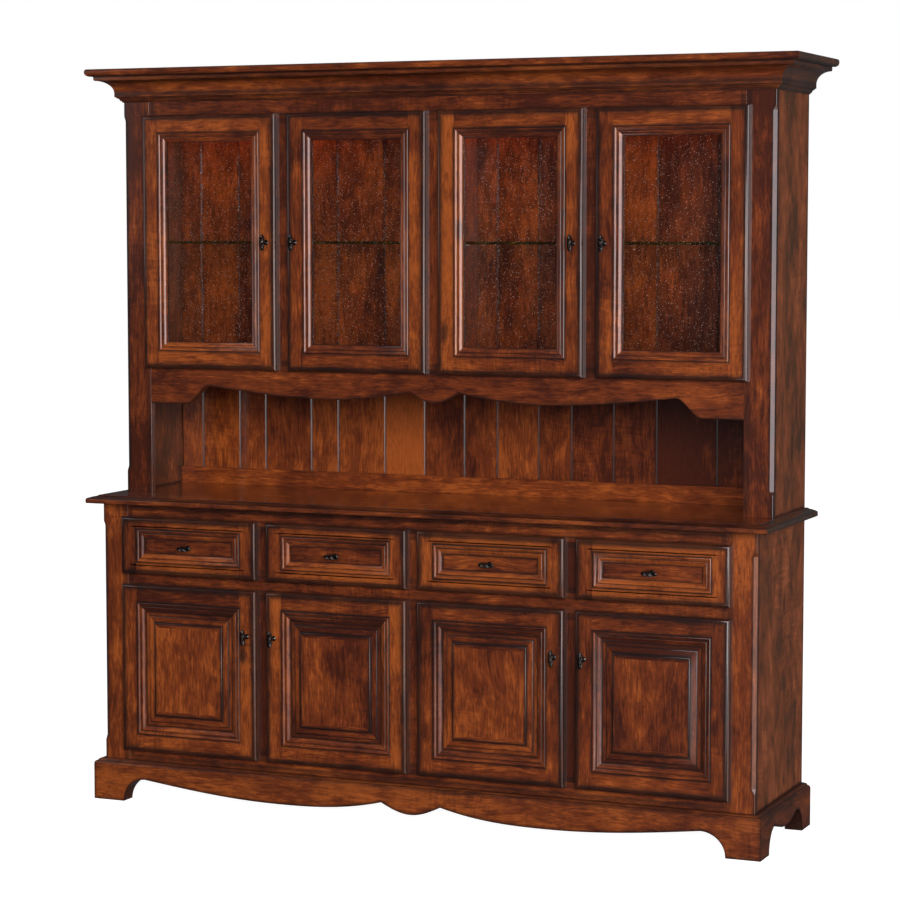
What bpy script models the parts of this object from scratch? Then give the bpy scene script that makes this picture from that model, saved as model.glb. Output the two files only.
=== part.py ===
"""A two-piece china cabinet: a buffet with drawers over cupboards, and a glazed hutch on its top.

Units are metres and +Z is up. The front faces -Y and +X is to the viewer's right.
The origin lies on the floor, under the middle of the whole cabinet.
"""

import math

import bmesh
import bpy

OBJECT_NAME = "china_cabinet"

# Clearances
FIT_GAP = 0.0003            # between pieces that are fixed together or rest on each other
DOOR_GAP = 0.0008           # between a closed door or drawer front and the face frame
DRAWER_SIDE_GAP = 0.003     # between a drawer box and the opening it passes through
DRAWER_LIFT = 0.002         # how far a drawer box runs above the rail below it
DRAWER_HEADROOM = 0.012     # between a drawer box and the rail above it
GUIDE_GAP = 0.001           # between a drawer box and the guide strip beside it
OVERRUN = 0.004             # how far a cutter passes the faces that it cuts
WELD = 0.00001              # points nearer than this are one point

# Carcass
CARCASS_WIDTH = 1.930
BASE_DEPTH = 0.4445
HUTCH_SETBACK = 0.1375      # the hutch face frame stands this far behind the base face frame
SIDE_THICKNESS = 0.019
FACE_THICKNESS = 0.019
FLOOR_THICKNESS = 0.019
PARTITION_THICKNESS = 0.019
DECK_THICKNESS = 0.012
BACK_THICKNESS = 0.012
COLUMNS = 4
BAYS = 2                    # a bay is the space behind one pair of doors

# Heights of the base, from the floor up
PLINTH_HEIGHT = 0.117
LOWER_DOOR_RISE = 0.0287    # from the plinth to the cupboard doors
LOWER_DOOR_HEIGHT = 0.4783
DRAWER_RISE = 0.0294        # from the cupboard doors to the drawer fronts
DRAWER_HEIGHT = 0.1626
TOP_RISE = 0.0347           # from the drawer fronts to the buffet top
TOP_THICKNESS = 0.0225

# Heights of the hutch, from the buffet top up
UPPER_DOOR_RISE = 0.3565    # from the buffet top to the glazed doors
UPPER_DOOR_HEIGHT = 0.7183
CROWN_RISE = 0.0380         # from the glazed doors to the crown
CROWN_HEIGHT = 0.0715
CAP_THICKNESS = 0.0205

# Door and drawer fronts across the width
LOWER_MARGIN = 0.066        # from the end of the carcass to the first cupboard door
LOWER_SPACING = 0.0307      # between neighbouring cupboard doors
UPPER_MARGIN = 0.068
UPPER_SPACING = 0.0355
OVERLAY = 0.0127            # how far a door or drawer front covers the edge of its opening

# Door and drawer construction
FRONT_THICKNESS = 0.019
FRONT_EDGE_RADIUS = 0.009
DOOR_STILE = 0.050
DRAWER_STILE = 0.050
DRAWER_RAIL = 0.034
MOULDING_WIDTH = 0.0265
MOULDING_DEPTH = 0.009
DRAWER_MOULDING_WIDTH = 0.0265
DRAWER_MOULDING_DEPTH = 0.009
GROOVE_DEPTH = 0.008
GLASS_THICKNESS = 0.004
PANEL_TONGUE = 0.006
PANEL_BEVEL_WIDTH = 0.021
PANEL_BEVEL_FALL = 0.0055   # from the raised field's rim down to the outer end of the bevel
PANEL_FIELD_STEP = 0.003
PANEL_EDGE_LAND = 0.012     # flat strip outside the bevel, beside the moulding

# Drawer box
BOX_BACK_GAP = 0.033        # between a closed drawer box and the back of the base
BOX_WALL = 0.0127
BOX_FLOOR = 0.006
BOX_FLOOR_RISE = 0.010

# Hinges
HINGE_INSET = 0.003         # from the door's edge to its hinge axis
HINGE_BEHIND_FACE = 0.003   # from the door's front to its hinge axis

# Pulls
PULL_LENGTH = 0.046
PULL_RADIUS = 0.0080
PULL_END_RADIUS = 0.0028
PULL_FLUTE = 0.0014
PULL_STANDOFF = 0.026       # from the door's front to the middle of the pull
PULL_NECK_RADIUS = 0.0035
PULL_FOOT_RADIUS = 0.0070
PULL_LOBES = 4
PULL_SIDES = 16
PULL_RINGS = 11
PULL_TWIST_TURNS = 0.5
PULL_SHARP_DEGREES = 50
PULL_NECK_SIDES = 12
PULL_EDGE_INSET = 0.0265    # from a door's free edge to its pull
LOWER_PULL_DROP = 0.128     # from the top of a cupboard door to its pull

# Plinth
PLINTH_REACH = 0.025        # how far the plinth stands out from the carcass
PLINTH_THICKNESS = 0.050
PLINTH_EDGE_WIDTH = 0.021
PLINTH_EDGE_FALL = 0.015
FRONT_FOOT_LENGTH = 0.096
FRONT_COVE_RUN = 0.069
SIDE_FOOT_LENGTH = 0.076
SIDE_COVE_RUN = 0.057

# Buffet top
TOP_REACH = 0.037
TOP_EDGE_WIDTH = 0.027

# Crown and cap
CROWN_REACH = 0.064
CAP_REACH = 0.0822
CAP_NOSE_WIDTH = 0.020

# Corner chamfers of both face frames
CHAMFER = 0.009
EDGE_BREAK = 0.0012
CHAMFER_TONGUE = 0.016      # length of the curved stop at each end of a chamfer
BASE_CHAMFER_STOP = 0.050   # plain length left at each end
HUTCH_CHAMFER_STOP = 0.057

# Scalloped rail of the hutch
RAIL_FLAT_HEIGHT = 0.2548   # from the buffet top to the flat ends of the rail's edge
RAIL_WAVE = 0.052           # from the flat ends up to the highest point of the edge

# Fittings
BACK_RAIL_HEIGHT = 0.048
BACK_RAIL_THICKNESS = 0.012
BOARD_GROOVE_WIDTH = 0.0036
BOARD_GROOVE_DEPTH = 0.0024
GLASS_SHELF_THICKNESS = 0.008
GLASS_SHELF_INSET = 0.022   # from the face frame and from the back boards
CUPBOARD_SHELF_INSET = 0.060
GUIDE_HEIGHT = 0.014

# Shares of the sizes that the outlines follow
SKIRT_LOW_SHARE = 0.404     # of half the plinth's width, where the skirt hangs lowest
SKIRT_CUSP_SHARE = 0.089
SKIRT_PEAK_HEIGHT_SHARE = 0.564
SKIRT_LOW_HEIGHT_SHARE = 0.275
SKIRT_CUSP_HEIGHT_SHARE = 0.547
SKIRT_DROP_HEIGHT_SHARE = 0.312
SIDE_PEAK_HEIGHT_SHARE = 0.590
SIDE_LOW_HEIGHT_SHARE = 0.402
RAIL_FLAT_SHARE = 0.871     # of half the opening's width
RAIL_PEAK_SHARE = 0.786
RAIL_LOW_SHARE = 0.356
RAIL_CUSP_SHARE = 0.081
RAIL_LOW_HEIGHT_SHARE = 0.452
RAIL_CUSP_HEIGHT_SHARE = 0.962
RAIL_DROP_HEIGHT_SHARE = 0.415
GLASS_SHELF_HEIGHT_SHARE = 0.505
CUPBOARD_SHELF_HEIGHT_SHARE = 0.5
# widths of the back boards, left to right, as shares of the width between the sides
BACK_BOARD_SHARES = (
    0.0372, 0.0653, 0.0452, 0.0790, 0.0458, 0.0788, 0.0663, 0.0657,
    0.0532, 0.0659, 0.0525, 0.0660, 0.0667, 0.0921, 0.0655, 0.0548,
)
# moulding round a door's opening: across its width, and down from the door's face
MOULDING_SHARES = (
    (0.00, 0.00), (0.00, 0.18), (0.05, 0.10), (0.13, 0.08), (0.21, 0.16), (0.25, 0.34),
    (0.40, 0.56), (0.58, 0.66), (0.66, 0.56), (0.78, 0.50), (0.91, 0.56), (1.00, 0.72),
)
# crown below the cap: outwards and upwards, from the foot of the moulding
CROWN_FOOT_SHARES = ((0.06, 0.00), (0.07, 0.04), (0.13, 0.09), (0.24, 0.16), (0.31, 0.24))
CROWN_COVE_START_SHARES = (0.31, 0.37)
CROWN_COVE_END_SHARES = (0.95, 0.87)
CROWN_HEAD_SHARES = ((0.98, 0.89), (0.98, 1.00))
# cap nose: inwards from its tip, and upwards
CAP_SHARES = (
    (0.75, 0.00), (0.45, 0.03), (0.22, 0.14), (0.07, 0.32), (0.00, 0.55),
    (0.02, 0.78), (0.10, 0.93), (0.22, 1.00),
)
# buffet top edge: inwards from its tip, and upwards
TOP_EDGE_SHARES = (
    (0.12, 0.00), (0.03, 0.05), (0.00, 0.15), (0.00, 0.48), (0.03, 0.58), (0.11, 0.66),
    (0.40, 0.77), (0.72, 0.86), (0.95, 0.89), (1.00, 0.92), (1.00, 1.00),
)
# plinth edge: inwards from its face, and downwards from its top
PLINTH_EDGE_SHARES = (
    (0.00, 1.00), (0.03, 0.78), (0.12, 0.58), (0.26, 0.44), (0.42, 0.38),
    (0.44, 0.20), (0.70, 0.08), (1.00, 0.00),
)

# How finely the curves are drawn, and how late each waved edge turns up towards its cusp
ARC_STEPS = 5
EDGE_ARC_STEPS = 4
WAVE_STEPS = 9
DROP_STEPS = 5
OGEE_STEPS = 6
SKIRT_SWEEP_POWER = 2.6
RAIL_SWEEP_POWER = 1.8

# Positions worked out from the sizes
HALF_WIDTH = CARCASS_WIDTH / 2
MITRE_GAP = FIT_GAP + FIT_GAP
FRONT_REACH = DOOR_GAP + FRONT_THICKNESS + FIT_GAP + PULL_STANDOFF + PULL_RADIUS
BASE_FACE = (FRONT_REACH - BASE_DEPTH) / 2
BACK_PLANE = BASE_FACE + BASE_DEPTH
HUTCH_FACE = BASE_FACE + HUTCH_SETBACK
INNER_HALF = HALF_WIDTH - SIDE_THICKNESS

LOWER_DOOR_FOOT = PLINTH_HEIGHT + LOWER_DOOR_RISE
LOWER_DOOR_HEAD = LOWER_DOOR_FOOT + LOWER_DOOR_HEIGHT
DRAWER_FOOT = LOWER_DOOR_HEAD + DRAWER_RISE
DRAWER_HEAD = DRAWER_FOOT + DRAWER_HEIGHT
BASE_HEAD = DRAWER_HEAD + TOP_RISE
TOP_SURFACE = BASE_HEAD + TOP_THICKNESS
UPPER_DOOR_FOOT = TOP_SURFACE + UPPER_DOOR_RISE
UPPER_DOOR_HEAD = UPPER_DOOR_FOOT + UPPER_DOOR_HEIGHT
CROWN_FOOT = UPPER_DOOR_HEAD + CROWN_RISE
CAP_FOOT = CROWN_FOOT + CROWN_HEIGHT

BASE_FLOOR_TOP = LOWER_DOOR_FOOT + OVERLAY
DRAWER_BOX_FOOT = DRAWER_FOOT + OVERLAY + DRAWER_LIFT
DECK_TOP = DRAWER_BOX_FOOT - FIT_GAP
DECK_FOOT = DECK_TOP - DECK_THICKNESS
HUTCH_FLOOR_TOP = UPPER_DOOR_FOOT + OVERLAY
DRAWER_BOX_HEIGHT = DRAWER_HEIGHT - OVERLAY - OVERLAY - DRAWER_LIFT - DRAWER_HEADROOM

WOOD = ((0.30, 0.105, 0.040), 0.38, 0.0, 0.0)
PALE_WOOD = ((0.52, 0.36, 0.20), 0.50, 0.0, 0.0)
IRON = ((0.020, 0.019, 0.018), 0.45, 0.8, 0.0)
SEEDED_GLASS = ((0.80, 0.84, 0.80), 0.06, 0.0, 0.9)
SHELF_GLASS = ((0.55, 0.78, 0.66), 0.04, 0.0, 0.9)


def clear_scene():
    for thing in list(bpy.data.objects):
        bpy.data.objects.remove(thing, do_unlink=True)


def make_collection(name):
    group = bpy.data.collections.new(name)
    bpy.context.scene.collection.children.link(group)
    return group


def finish(thing, look):
    """Give the object a material of its own."""
    colour, roughness, metallic, transmission = look
    material = bpy.data.materials.new(thing.name + "_finish")
    material.use_nodes = True
    shader = material.node_tree.nodes["Principled BSDF"]
    shader.inputs["Base Color"].default_value = (*colour, 1.0)
    shader.inputs["Roughness"].default_value = roughness
    shader.inputs["Metallic"].default_value = metallic
    shader.inputs["Transmission Weight"].default_value = transmission
    material.diffuse_color = (*colour, 1.0)
    thing.data.materials.append(material)
    return thing


def place(thing, location, parent=None):
    thing.location = location
    thing.parent = parent
    return thing


def add_object(name, mesh, look=None, cutter=False):
    """Link a mesh object: a piece of the cabinet, or a cutter that the build leaves out."""
    thing = bpy.data.objects.new(name, mesh)
    if cutter:
        CUTTERS.objects.link(thing)
        thing.display_type = "WIRE"
        thing.hide_render = True
    else:
        PIECES.objects.link(thing)
        finish(thing, look)
    return thing


def mesh_of(name, bm):
    bmesh.ops.recalc_face_normals(bm, faces=bm.faces)
    mesh = bpy.data.meshes.new(name)
    bm.to_mesh(mesh)
    bm.free()
    return mesh


def box(name, low, high, look=None, cutter=False, parent=None, origin=(0, 0, 0)):
    """A rectangular board between two corners, placed by its middle."""
    sizes = [b - a for a, b in zip(low, high)]
    bm = bmesh.new()
    bmesh.ops.create_cube(bm, size=1)
    bmesh.ops.scale(bm, vec=sizes, verts=bm.verts)
    thing = add_object(name, mesh_of(name, bm), look, cutter)
    middle = [(a + b) / 2 - c for a, b, c in zip(low, high, origin)]
    return place(thing, middle, parent)


def loft_mesh(name, rings, closed=False):
    """Skin a row of rings of equal count. The two ends are capped, or joined when closed."""
    bm = bmesh.new()
    rows = [[bm.verts.new(point) for point in ring] for ring in rings]
    pairs = list(zip(rows, rows[1:]))
    if closed:
        pairs.append((rows[-1], rows[0]))
    for one, two in pairs:
        for here in range(len(one)):
            bm.faces.new((one[here - 1], one[here], two[here], two[here - 1]))
    if not closed:
        bm.faces.new(rows[0])
        bm.faces.new(rows[-1])
    return mesh_of(name, bm)


def flat_mesh(name, outline, thickness):
    """A flat board from an outline in its own XY plane, as thick to each side of that plane."""
    curve = bpy.data.curves.new(name + "_outline", "CURVE")
    curve.dimensions = "2D"
    curve.fill_mode = "BOTH"
    curve.extrude = thickness / 2
    spline = curve.splines.new("POLY")
    spline.points.add(len(outline) - 1)
    for point, (x, y) in zip(spline.points, outline):
        point.co = (x, y, 0, 1)
    spline.use_cyclic_u = True
    holder = bpy.data.objects.new(name + "_outline", curve)
    PIECES.objects.link(holder)
    bpy.context.view_layer.update()
    graph = bpy.context.evaluated_depsgraph_get()
    raw = bpy.data.meshes.new_from_object(holder.evaluated_get(graph))
    bm = bmesh.new()
    bm.from_mesh(raw)
    bmesh.ops.remove_doubles(bm, verts=bm.verts, dist=WELD)
    bpy.data.objects.remove(holder, do_unlink=True)
    bpy.data.meshes.remove(raw)
    return mesh_of(name, bm)


def upright(thing, middle_y):
    """Stand a flat board up, so that its own Y runs along the cabinet's Z."""
    thing.rotation_euler = (math.pi / 2, 0, 0)
    thing.location = (0, middle_y, 0)
    return thing


def cut(thing, cutter, operation="DIFFERENCE"):
    step = thing.modifiers.new(cutter.name, "BOOLEAN")
    step.operation = operation
    step.solver = "EXACT"
    step.object = cutter
    return thing


def settled_mesh(thing, name):
    """The object's mesh with its modifiers carried out."""
    bpy.context.view_layer.update()
    graph = bpy.context.evaluated_depsgraph_get()
    mesh = bpy.data.meshes.new_from_object(thing.evaluated_get(graph))
    mesh.name = name
    return mesh


def scaled(shares, width, height):
    return [(across * width, up * height) for across, up in shares]


def elliptic_arc(centre, across, up, start, end, steps):
    """Points on an ellipse, from one angle to another in degrees."""
    points = []
    for step in range(steps + 1):
        angle = math.radians(start + (end - start) * step / steps)
        points.append((centre[0] + across * math.cos(angle), centre[1] + up * math.sin(angle)))
    return points


def eased(start, end, steps):
    """An S-shaped curve that leaves and arrives level."""
    points = []
    for step in range(steps + 1):
        share = step / steps
        lift = (1 - math.cos(math.pi * share)) / 2
        points.append((start[0] + (end[0] - start[0]) * share, start[1] + (end[1] - start[1]) * lift))
    return points


def settling(start, end, steps):
    """A curve that leaves on a slope and arrives level."""
    points = []
    for step in range(steps + 1):
        share = step / steps
        fall = math.sin(math.pi / 2 * share)
        points.append((start[0] + (end[0] - start[0]) * share, start[1] + (end[1] - start[1]) * fall))
    return points


def wave_line(peak, low, cusp, drop, sweep_power):
    """The right half of a scalloped edge, from its outer peak to the middle of its centre drop."""
    points = settling(peak, low, WAVE_STEPS)
    for step in range(1, WAVE_STEPS + 1):
        share = step / WAVE_STEPS
        x = low[0] + (cusp[0] - low[0]) * share
        points.append((x, low[1] + (cusp[1] - low[1]) * share ** sweep_power))
    return points + settling(cusp, (0, drop), DROP_STEPS)[1:]


def mirrored_line(right_half):
    """A line that runs from right to left through its middle point, which the half ends on."""
    return right_half + [(-x, z) for x, z in reversed(right_half[:-1])]


def plan_corner(which, out, face):
    """A plan corner of the carcass rectangle, grown outwards except at the back."""
    side, end = which
    y = face - out if end == "front" else BACK_PLANE
    return (side * (HALF_WIDTH + out), y)


def moulding_run(profile, corners, face):
    """Rings of a moulding profile set at plan corners, mitred where the run turns."""
    rings = []
    for which in corners:
        rings.append([(*plan_corner(which, out, face), up) for out, up in profile])
    return rings


def column_centre(column, margin, spacing):
    width = front_width(margin, spacing)
    return margin - HALF_WIDTH + width / 2 + column * (width + spacing)


def front_width(margin, spacing):
    """The width of one door or drawer front in a row of them."""
    return (CARCASS_WIDTH - margin - margin - (COLUMNS - 1) * spacing) / COLUMNS


def cut_openings(frame, face, word, margin, spacing, foot, head):
    """Cut the openings behind one row of doors or drawer fronts, which cover their edges."""
    half = front_width(margin, spacing) / 2 - OVERLAY
    for column in range(COLUMNS):
        centre = column_centre(column, margin, spacing)
        low = (centre - half, face - OVERRUN, foot + OVERLAY)
        high = (centre + half, face + FACE_THICKNESS + OVERRUN, head - OVERLAY)
        cut(frame, box(f"{frame.name}_{word}_{column + 1}_cutter", low, high, cutter=True))


def chamfer_cutter(name, side, face, foot, head, stop):
    """A wedge along a front corner, narrow at both ends and full width between its curved stops."""
    stations = [(foot - OVERRUN, EDGE_BREAK)]
    rise = eased((foot + stop, EDGE_BREAK), (foot + stop + CHAMFER_TONGUE, CHAMFER), OGEE_STEPS)
    fall = eased((head - stop - CHAMFER_TONGUE, CHAMFER), (head - stop, EDGE_BREAK), OGEE_STEPS)
    stations += rise + fall
    stations.append((head + OVERRUN, EDGE_BREAK))
    rings = []
    for z, size in stations:
        rings.append([
            (side * (HALF_WIDTH - size - OVERRUN), face - OVERRUN, z),
            (side * (HALF_WIDTH + OVERRUN), face + size + OVERRUN, z),
            (side * (HALF_WIDTH + OVERRUN), face - OVERRUN, z),
        ])
    return add_object(name, loft_mesh(name, rings), cutter=True)


def chamfer_corners(frame, face, foot, head, stop):
    for side, word in ((-1, "left"), (1, "right")):
        cutter = chamfer_cutter(f"{frame.name}_{word}_chamfer_cutter", side, face, foot, head, stop)
        cut(frame, cutter)


def build_plinth():
    """A front board with a scalloped skirt, and two side boards, all with bracket feet."""
    edge = []
    for inward, down in scaled(PLINTH_EDGE_SHARES, PLINTH_EDGE_WIDTH, PLINTH_EDGE_FALL):
        edge.append((PLINTH_REACH - inward, PLINTH_HEIGHT - down))
    inner = PLINTH_REACH - PLINTH_THICKNESS
    profile = [(PLINTH_REACH, 0)] + edge + [(inner, PLINTH_HEIGHT), (inner, 0)]
    rings = moulding_run(profile, ((-1, "front"), (1, "front")), BASE_FACE)
    front = add_object("plinth_front", loft_mesh("plinth_front", rings), WOOD)
    cut(front, skirt_cutter())
    for side, word in ((-1, "left"), (1, "right")):
        name = f"plinth_{word}"
        rings = moulding_run(profile, ((side, "back"), (side, "front")), BASE_FACE)
        rings[1] = [(x, y + MITRE_GAP, z) for x, y, z in rings[1]]
        board = add_object(name, loft_mesh(name, rings), WOOD)
        cut(board, side_cutter(side, word))


def skirt_cutter():
    """The space under the skirt: a cove beside each foot, then a long wave with a centre drop."""
    half = HALF_WIDTH + PLINTH_REACH
    foot = half - FRONT_FOOT_LENGTH
    peak = (foot - FRONT_COVE_RUN, PLINTH_HEIGHT * SKIRT_PEAK_HEIGHT_SHARE)
    low = (half * SKIRT_LOW_SHARE, PLINTH_HEIGHT * SKIRT_LOW_HEIGHT_SHARE)
    cusp = (half * SKIRT_CUSP_SHARE, PLINTH_HEIGHT * SKIRT_CUSP_HEIGHT_SHARE)
    cove = elliptic_arc((peak[0], 0), FRONT_COVE_RUN, peak[1], 0, 90, OGEE_STEPS)
    wave = wave_line(peak, low, cusp, PLINTH_HEIGHT * SKIRT_DROP_HEIGHT_SHARE, SKIRT_SWEEP_POWER)
    line = mirrored_line([(foot, -OVERRUN)] + cove + wave[1:])
    thickness = PLINTH_THICKNESS + OVERRUN + OVERRUN
    cutter = add_object("skirt_cutter", flat_mesh("skirt_cutter", line, thickness), cutter=True)
    return upright(cutter, BASE_FACE - PLINTH_REACH + PLINTH_THICKNESS / 2)


def side_cutter(side, word):
    """The space between the front and back feet of one side board, under a gentle wave."""
    front = BASE_FACE - PLINTH_REACH
    middle = (front + BACK_PLANE) / 2
    foot = BACK_PLANE - middle - SIDE_FOOT_LENGTH
    peak = (foot - SIDE_COVE_RUN, PLINTH_HEIGHT * SIDE_PEAK_HEIGHT_SHARE)
    cove = elliptic_arc((peak[0], 0), SIDE_COVE_RUN, peak[1], 0, 90, OGEE_STEPS)
    wave = settling(peak, (0, PLINTH_HEIGHT * SIDE_LOW_HEIGHT_SHARE), DROP_STEPS)
    line = mirrored_line([(foot, -OVERRUN)] + cove + wave[1:])
    name = f"plinth_{word}_cutter"
    thickness = PLINTH_THICKNESS + OVERRUN + OVERRUN
    cutter = add_object(name, flat_mesh(name, line, thickness), cutter=True)
    cutter.rotation_euler = (math.pi / 2, 0, math.pi / 2)
    cutter.location = (side * (HALF_WIDTH + PLINTH_REACH - PLINTH_THICKNESS / 2), middle, 0)
    return cutter


def build_base_carcass():
    """Sides, floor, back, centre partition, drawer deck and cupboard shelves of the base."""
    foot = PLINTH_HEIGHT + FIT_GAP
    head = BASE_HEAD - FIT_GAP
    front = BASE_FACE + FACE_THICKNESS + FIT_GAP
    inner = INNER_HALF - FIT_GAP
    back_face = BACK_PLANE - BACK_THICKNESS
    for side, word in ((-1, "left"), (1, "right")):
        near, far = sorted((side * INNER_HALF, side * HALF_WIDTH))
        box(f"base_{word}_side", (near, front, foot), (far, BACK_PLANE, head), WOOD)
    box("base_back", (-inner, back_face, foot), (inner, BACK_PLANE, head), WOOD)
    inside = back_face - FIT_GAP
    floor_foot = BASE_FLOOR_TOP - FLOOR_THICKNESS
    box("base_floor", (-inner, front, floor_foot), (inner, inside, BASE_FLOOR_TOP), WOOD)
    half = PARTITION_THICKNESS / 2
    cupboard_foot = BASE_FLOOR_TOP + FIT_GAP
    cupboard_head = DECK_FOOT - FIT_GAP
    box("base_partition", (-half, front, cupboard_foot), (half, inside, cupboard_head), WOOD)
    shelf_top = cupboard_foot + (cupboard_head - cupboard_foot) * CUPBOARD_SHELF_HEIGHT_SHARE
    shelf_front = front + CUPBOARD_SHELF_INSET
    shelf_foot = shelf_top - FLOOR_THICKNESS
    for side, word in ((-1, "left"), (1, "right")):
        near, far = sorted((side * (half + FIT_GAP), side * inner))
        box(f"cupboard_shelf_{word}", (near, shelf_front, shelf_foot), (far, inside, shelf_top), WOOD)
    build_drawer_deck(inner, front, inside)


def build_drawer_deck(inner, front, back):
    """A level deck that the drawers run on, with a guide strip on each side of every drawer."""
    half_run = front_width(LOWER_MARGIN, LOWER_SPACING) / 2 - OVERLAY - DRAWER_SIDE_GAP + GUIDE_GAP
    head = DECK_TOP + GUIDE_HEIGHT
    line = [(-inner, DECK_FOOT), (inner, DECK_FOOT), (inner, head)]
    for column in reversed(range(COLUMNS)):
        centre = column_centre(column, LOWER_MARGIN, LOWER_SPACING)
        line += [(centre + half_run, head), (centre + half_run, DECK_TOP)]
        line += [(centre - half_run, DECK_TOP), (centre - half_run, head)]
    line.append((-inner, head))
    deck = add_object("drawer_deck", flat_mesh("drawer_deck", line, back - front), WOOD)
    upright(deck, (front + back) / 2)


def build_base_face_frame():
    """One frame of stiles and rails, with four drawer openings over four cupboard openings."""
    foot = PLINTH_HEIGHT + FIT_GAP
    head = BASE_HEAD - FIT_GAP
    back = BASE_FACE + FACE_THICKNESS
    frame = box("base_face_frame", (-HALF_WIDTH, BASE_FACE, foot), (HALF_WIDTH, back, head), WOOD)
    cut_openings(frame, BASE_FACE, "door", LOWER_MARGIN, LOWER_SPACING, LOWER_DOOR_FOOT, LOWER_DOOR_HEAD)
    cut_openings(frame, BASE_FACE, "drawer", LOWER_MARGIN, LOWER_SPACING, DRAWER_FOOT, DRAWER_HEAD)
    chamfer_corners(frame, BASE_FACE, foot, head, BASE_CHAMFER_STOP)


def build_buffet_top():
    """A thick top with a moulded edge at its front and ends."""
    rings = []
    for inward, up in scaled(TOP_EDGE_SHARES, TOP_EDGE_WIDTH, TOP_THICKNESS):
        rings.append(board_ring(TOP_REACH - inward, BASE_FACE, BASE_HEAD + up))
    add_object("buffet_top", loft_mesh("buffet_top", rings), WOOD)


def board_ring(out, face, z):
    corners = ((-1, "front"), (1, "front"), (1, "back"), (-1, "back"))
    return [(*plan_corner(which, out, face), z) for which in corners]


def build_hutch_carcass():
    """Sides, floor, partition, back boards, back rail and glass shelves of the hutch."""
    foot = TOP_SURFACE + FIT_GAP
    head = CAP_FOOT - FIT_GAP
    front = HUTCH_FACE + FACE_THICKNESS + FIT_GAP
    inner = INNER_HALF - FIT_GAP
    boards_face = BACK_PLANE - BACK_THICKNESS
    inside = boards_face - FIT_GAP
    for side, word in ((-1, "left"), (1, "right")):
        near, far = sorted((side * INNER_HALF, side * HALF_WIDTH))
        box(f"hutch_{word}_side", (near, front, foot), (far, BACK_PLANE, head), WOOD)
    floor_foot = HUTCH_FLOOR_TOP - FLOOR_THICKNESS
    box("hutch_floor", (-inner, front, floor_foot), (inner, inside, HUTCH_FLOOR_TOP), WOOD)
    half = PARTITION_THICKNESS / 2
    bay_foot = HUTCH_FLOOR_TOP + FIT_GAP
    box("hutch_partition", (-half, front, bay_foot), (half, inside, head), WOOD)
    rail_front = inside - BACK_RAIL_THICKNESS
    box("hutch_back_rail", (-inner, rail_front, foot), (inner, inside, foot + BACK_RAIL_HEIGHT), WOOD)
    build_back_boards(inner, boards_face, foot, head)
    shelf_top = UPPER_DOOR_FOOT + UPPER_DOOR_HEIGHT * GLASS_SHELF_HEIGHT_SHARE
    shelf_foot = shelf_top - GLASS_SHELF_THICKNESS
    shelf_front = front + GLASS_SHELF_INSET
    shelf_back = inside - GLASS_SHELF_INSET
    for side, word in ((-1, "left"), (1, "right")):
        near, far = sorted((side * (half + FIT_GAP), side * inner))
        box(f"glass_shelf_{word}", (near, shelf_front, shelf_foot), (far, shelf_back, shelf_top), SHELF_GLASS)


def build_back_boards(inner, face, foot, head):
    """Random-width upright boards, joined edge to edge with a V groove at every joint."""
    line = [(-inner, BACK_PLANE), (-inner, face)]
    x = -inner
    for share in BACK_BOARD_SHARES[:-1]:
        x += share * (inner + inner) / sum(BACK_BOARD_SHARES)
        half = BOARD_GROOVE_WIDTH / 2
        line += [(x - half, face), (x, face + BOARD_GROOVE_DEPTH), (x + half, face)]
    line += [(inner, face), (inner, BACK_PLANE)]
    boards = add_object("hutch_back_boards", flat_mesh("hutch_back_boards", line, head - foot), WOOD)
    boards.location = (0, 0, (foot + head) / 2)


def build_hutch_face_frame():
    """Stiles down to the buffet top, a head rail, and a rail with a scalloped lower edge."""
    foot = TOP_SURFACE + FIT_GAP
    head = CAP_FOOT - FIT_GAP
    inner = HALF_WIDTH - UPPER_MARGIN - OVERLAY
    flat = TOP_SURFACE + RAIL_FLAT_HEIGHT
    peak = (inner * RAIL_PEAK_SHARE, flat + RAIL_WAVE)
    low = (inner * RAIL_LOW_SHARE, flat + RAIL_WAVE * RAIL_LOW_HEIGHT_SHARE)
    cusp = (inner * RAIL_CUSP_SHARE, flat + RAIL_WAVE * RAIL_CUSP_HEIGHT_SHARE)
    ogee = eased((inner * RAIL_FLAT_SHARE, flat), peak, OGEE_STEPS)
    wave = wave_line(peak, low, cusp, flat + RAIL_WAVE * RAIL_DROP_HEIGHT_SHARE, RAIL_SWEEP_POWER)
    edge = mirrored_line([(inner, foot), (inner, flat)] + ogee + wave[1:])
    outside = [(-HALF_WIDTH, foot), (-HALF_WIDTH, head), (HALF_WIDTH, head), (HALF_WIDTH, foot)]
    mesh = flat_mesh("hutch_face_frame", outside + edge, FACE_THICKNESS)
    frame = upright(add_object("hutch_face_frame", mesh, WOOD), HUTCH_FACE + FACE_THICKNESS / 2)
    cut_openings(frame, HUTCH_FACE, "door", UPPER_MARGIN, UPPER_SPACING, UPPER_DOOR_FOOT, UPPER_DOOR_HEAD)
    chamfer_corners(frame, HUTCH_FACE, foot, CROWN_FOOT, HUTCH_CHAMFER_STOP)


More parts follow.
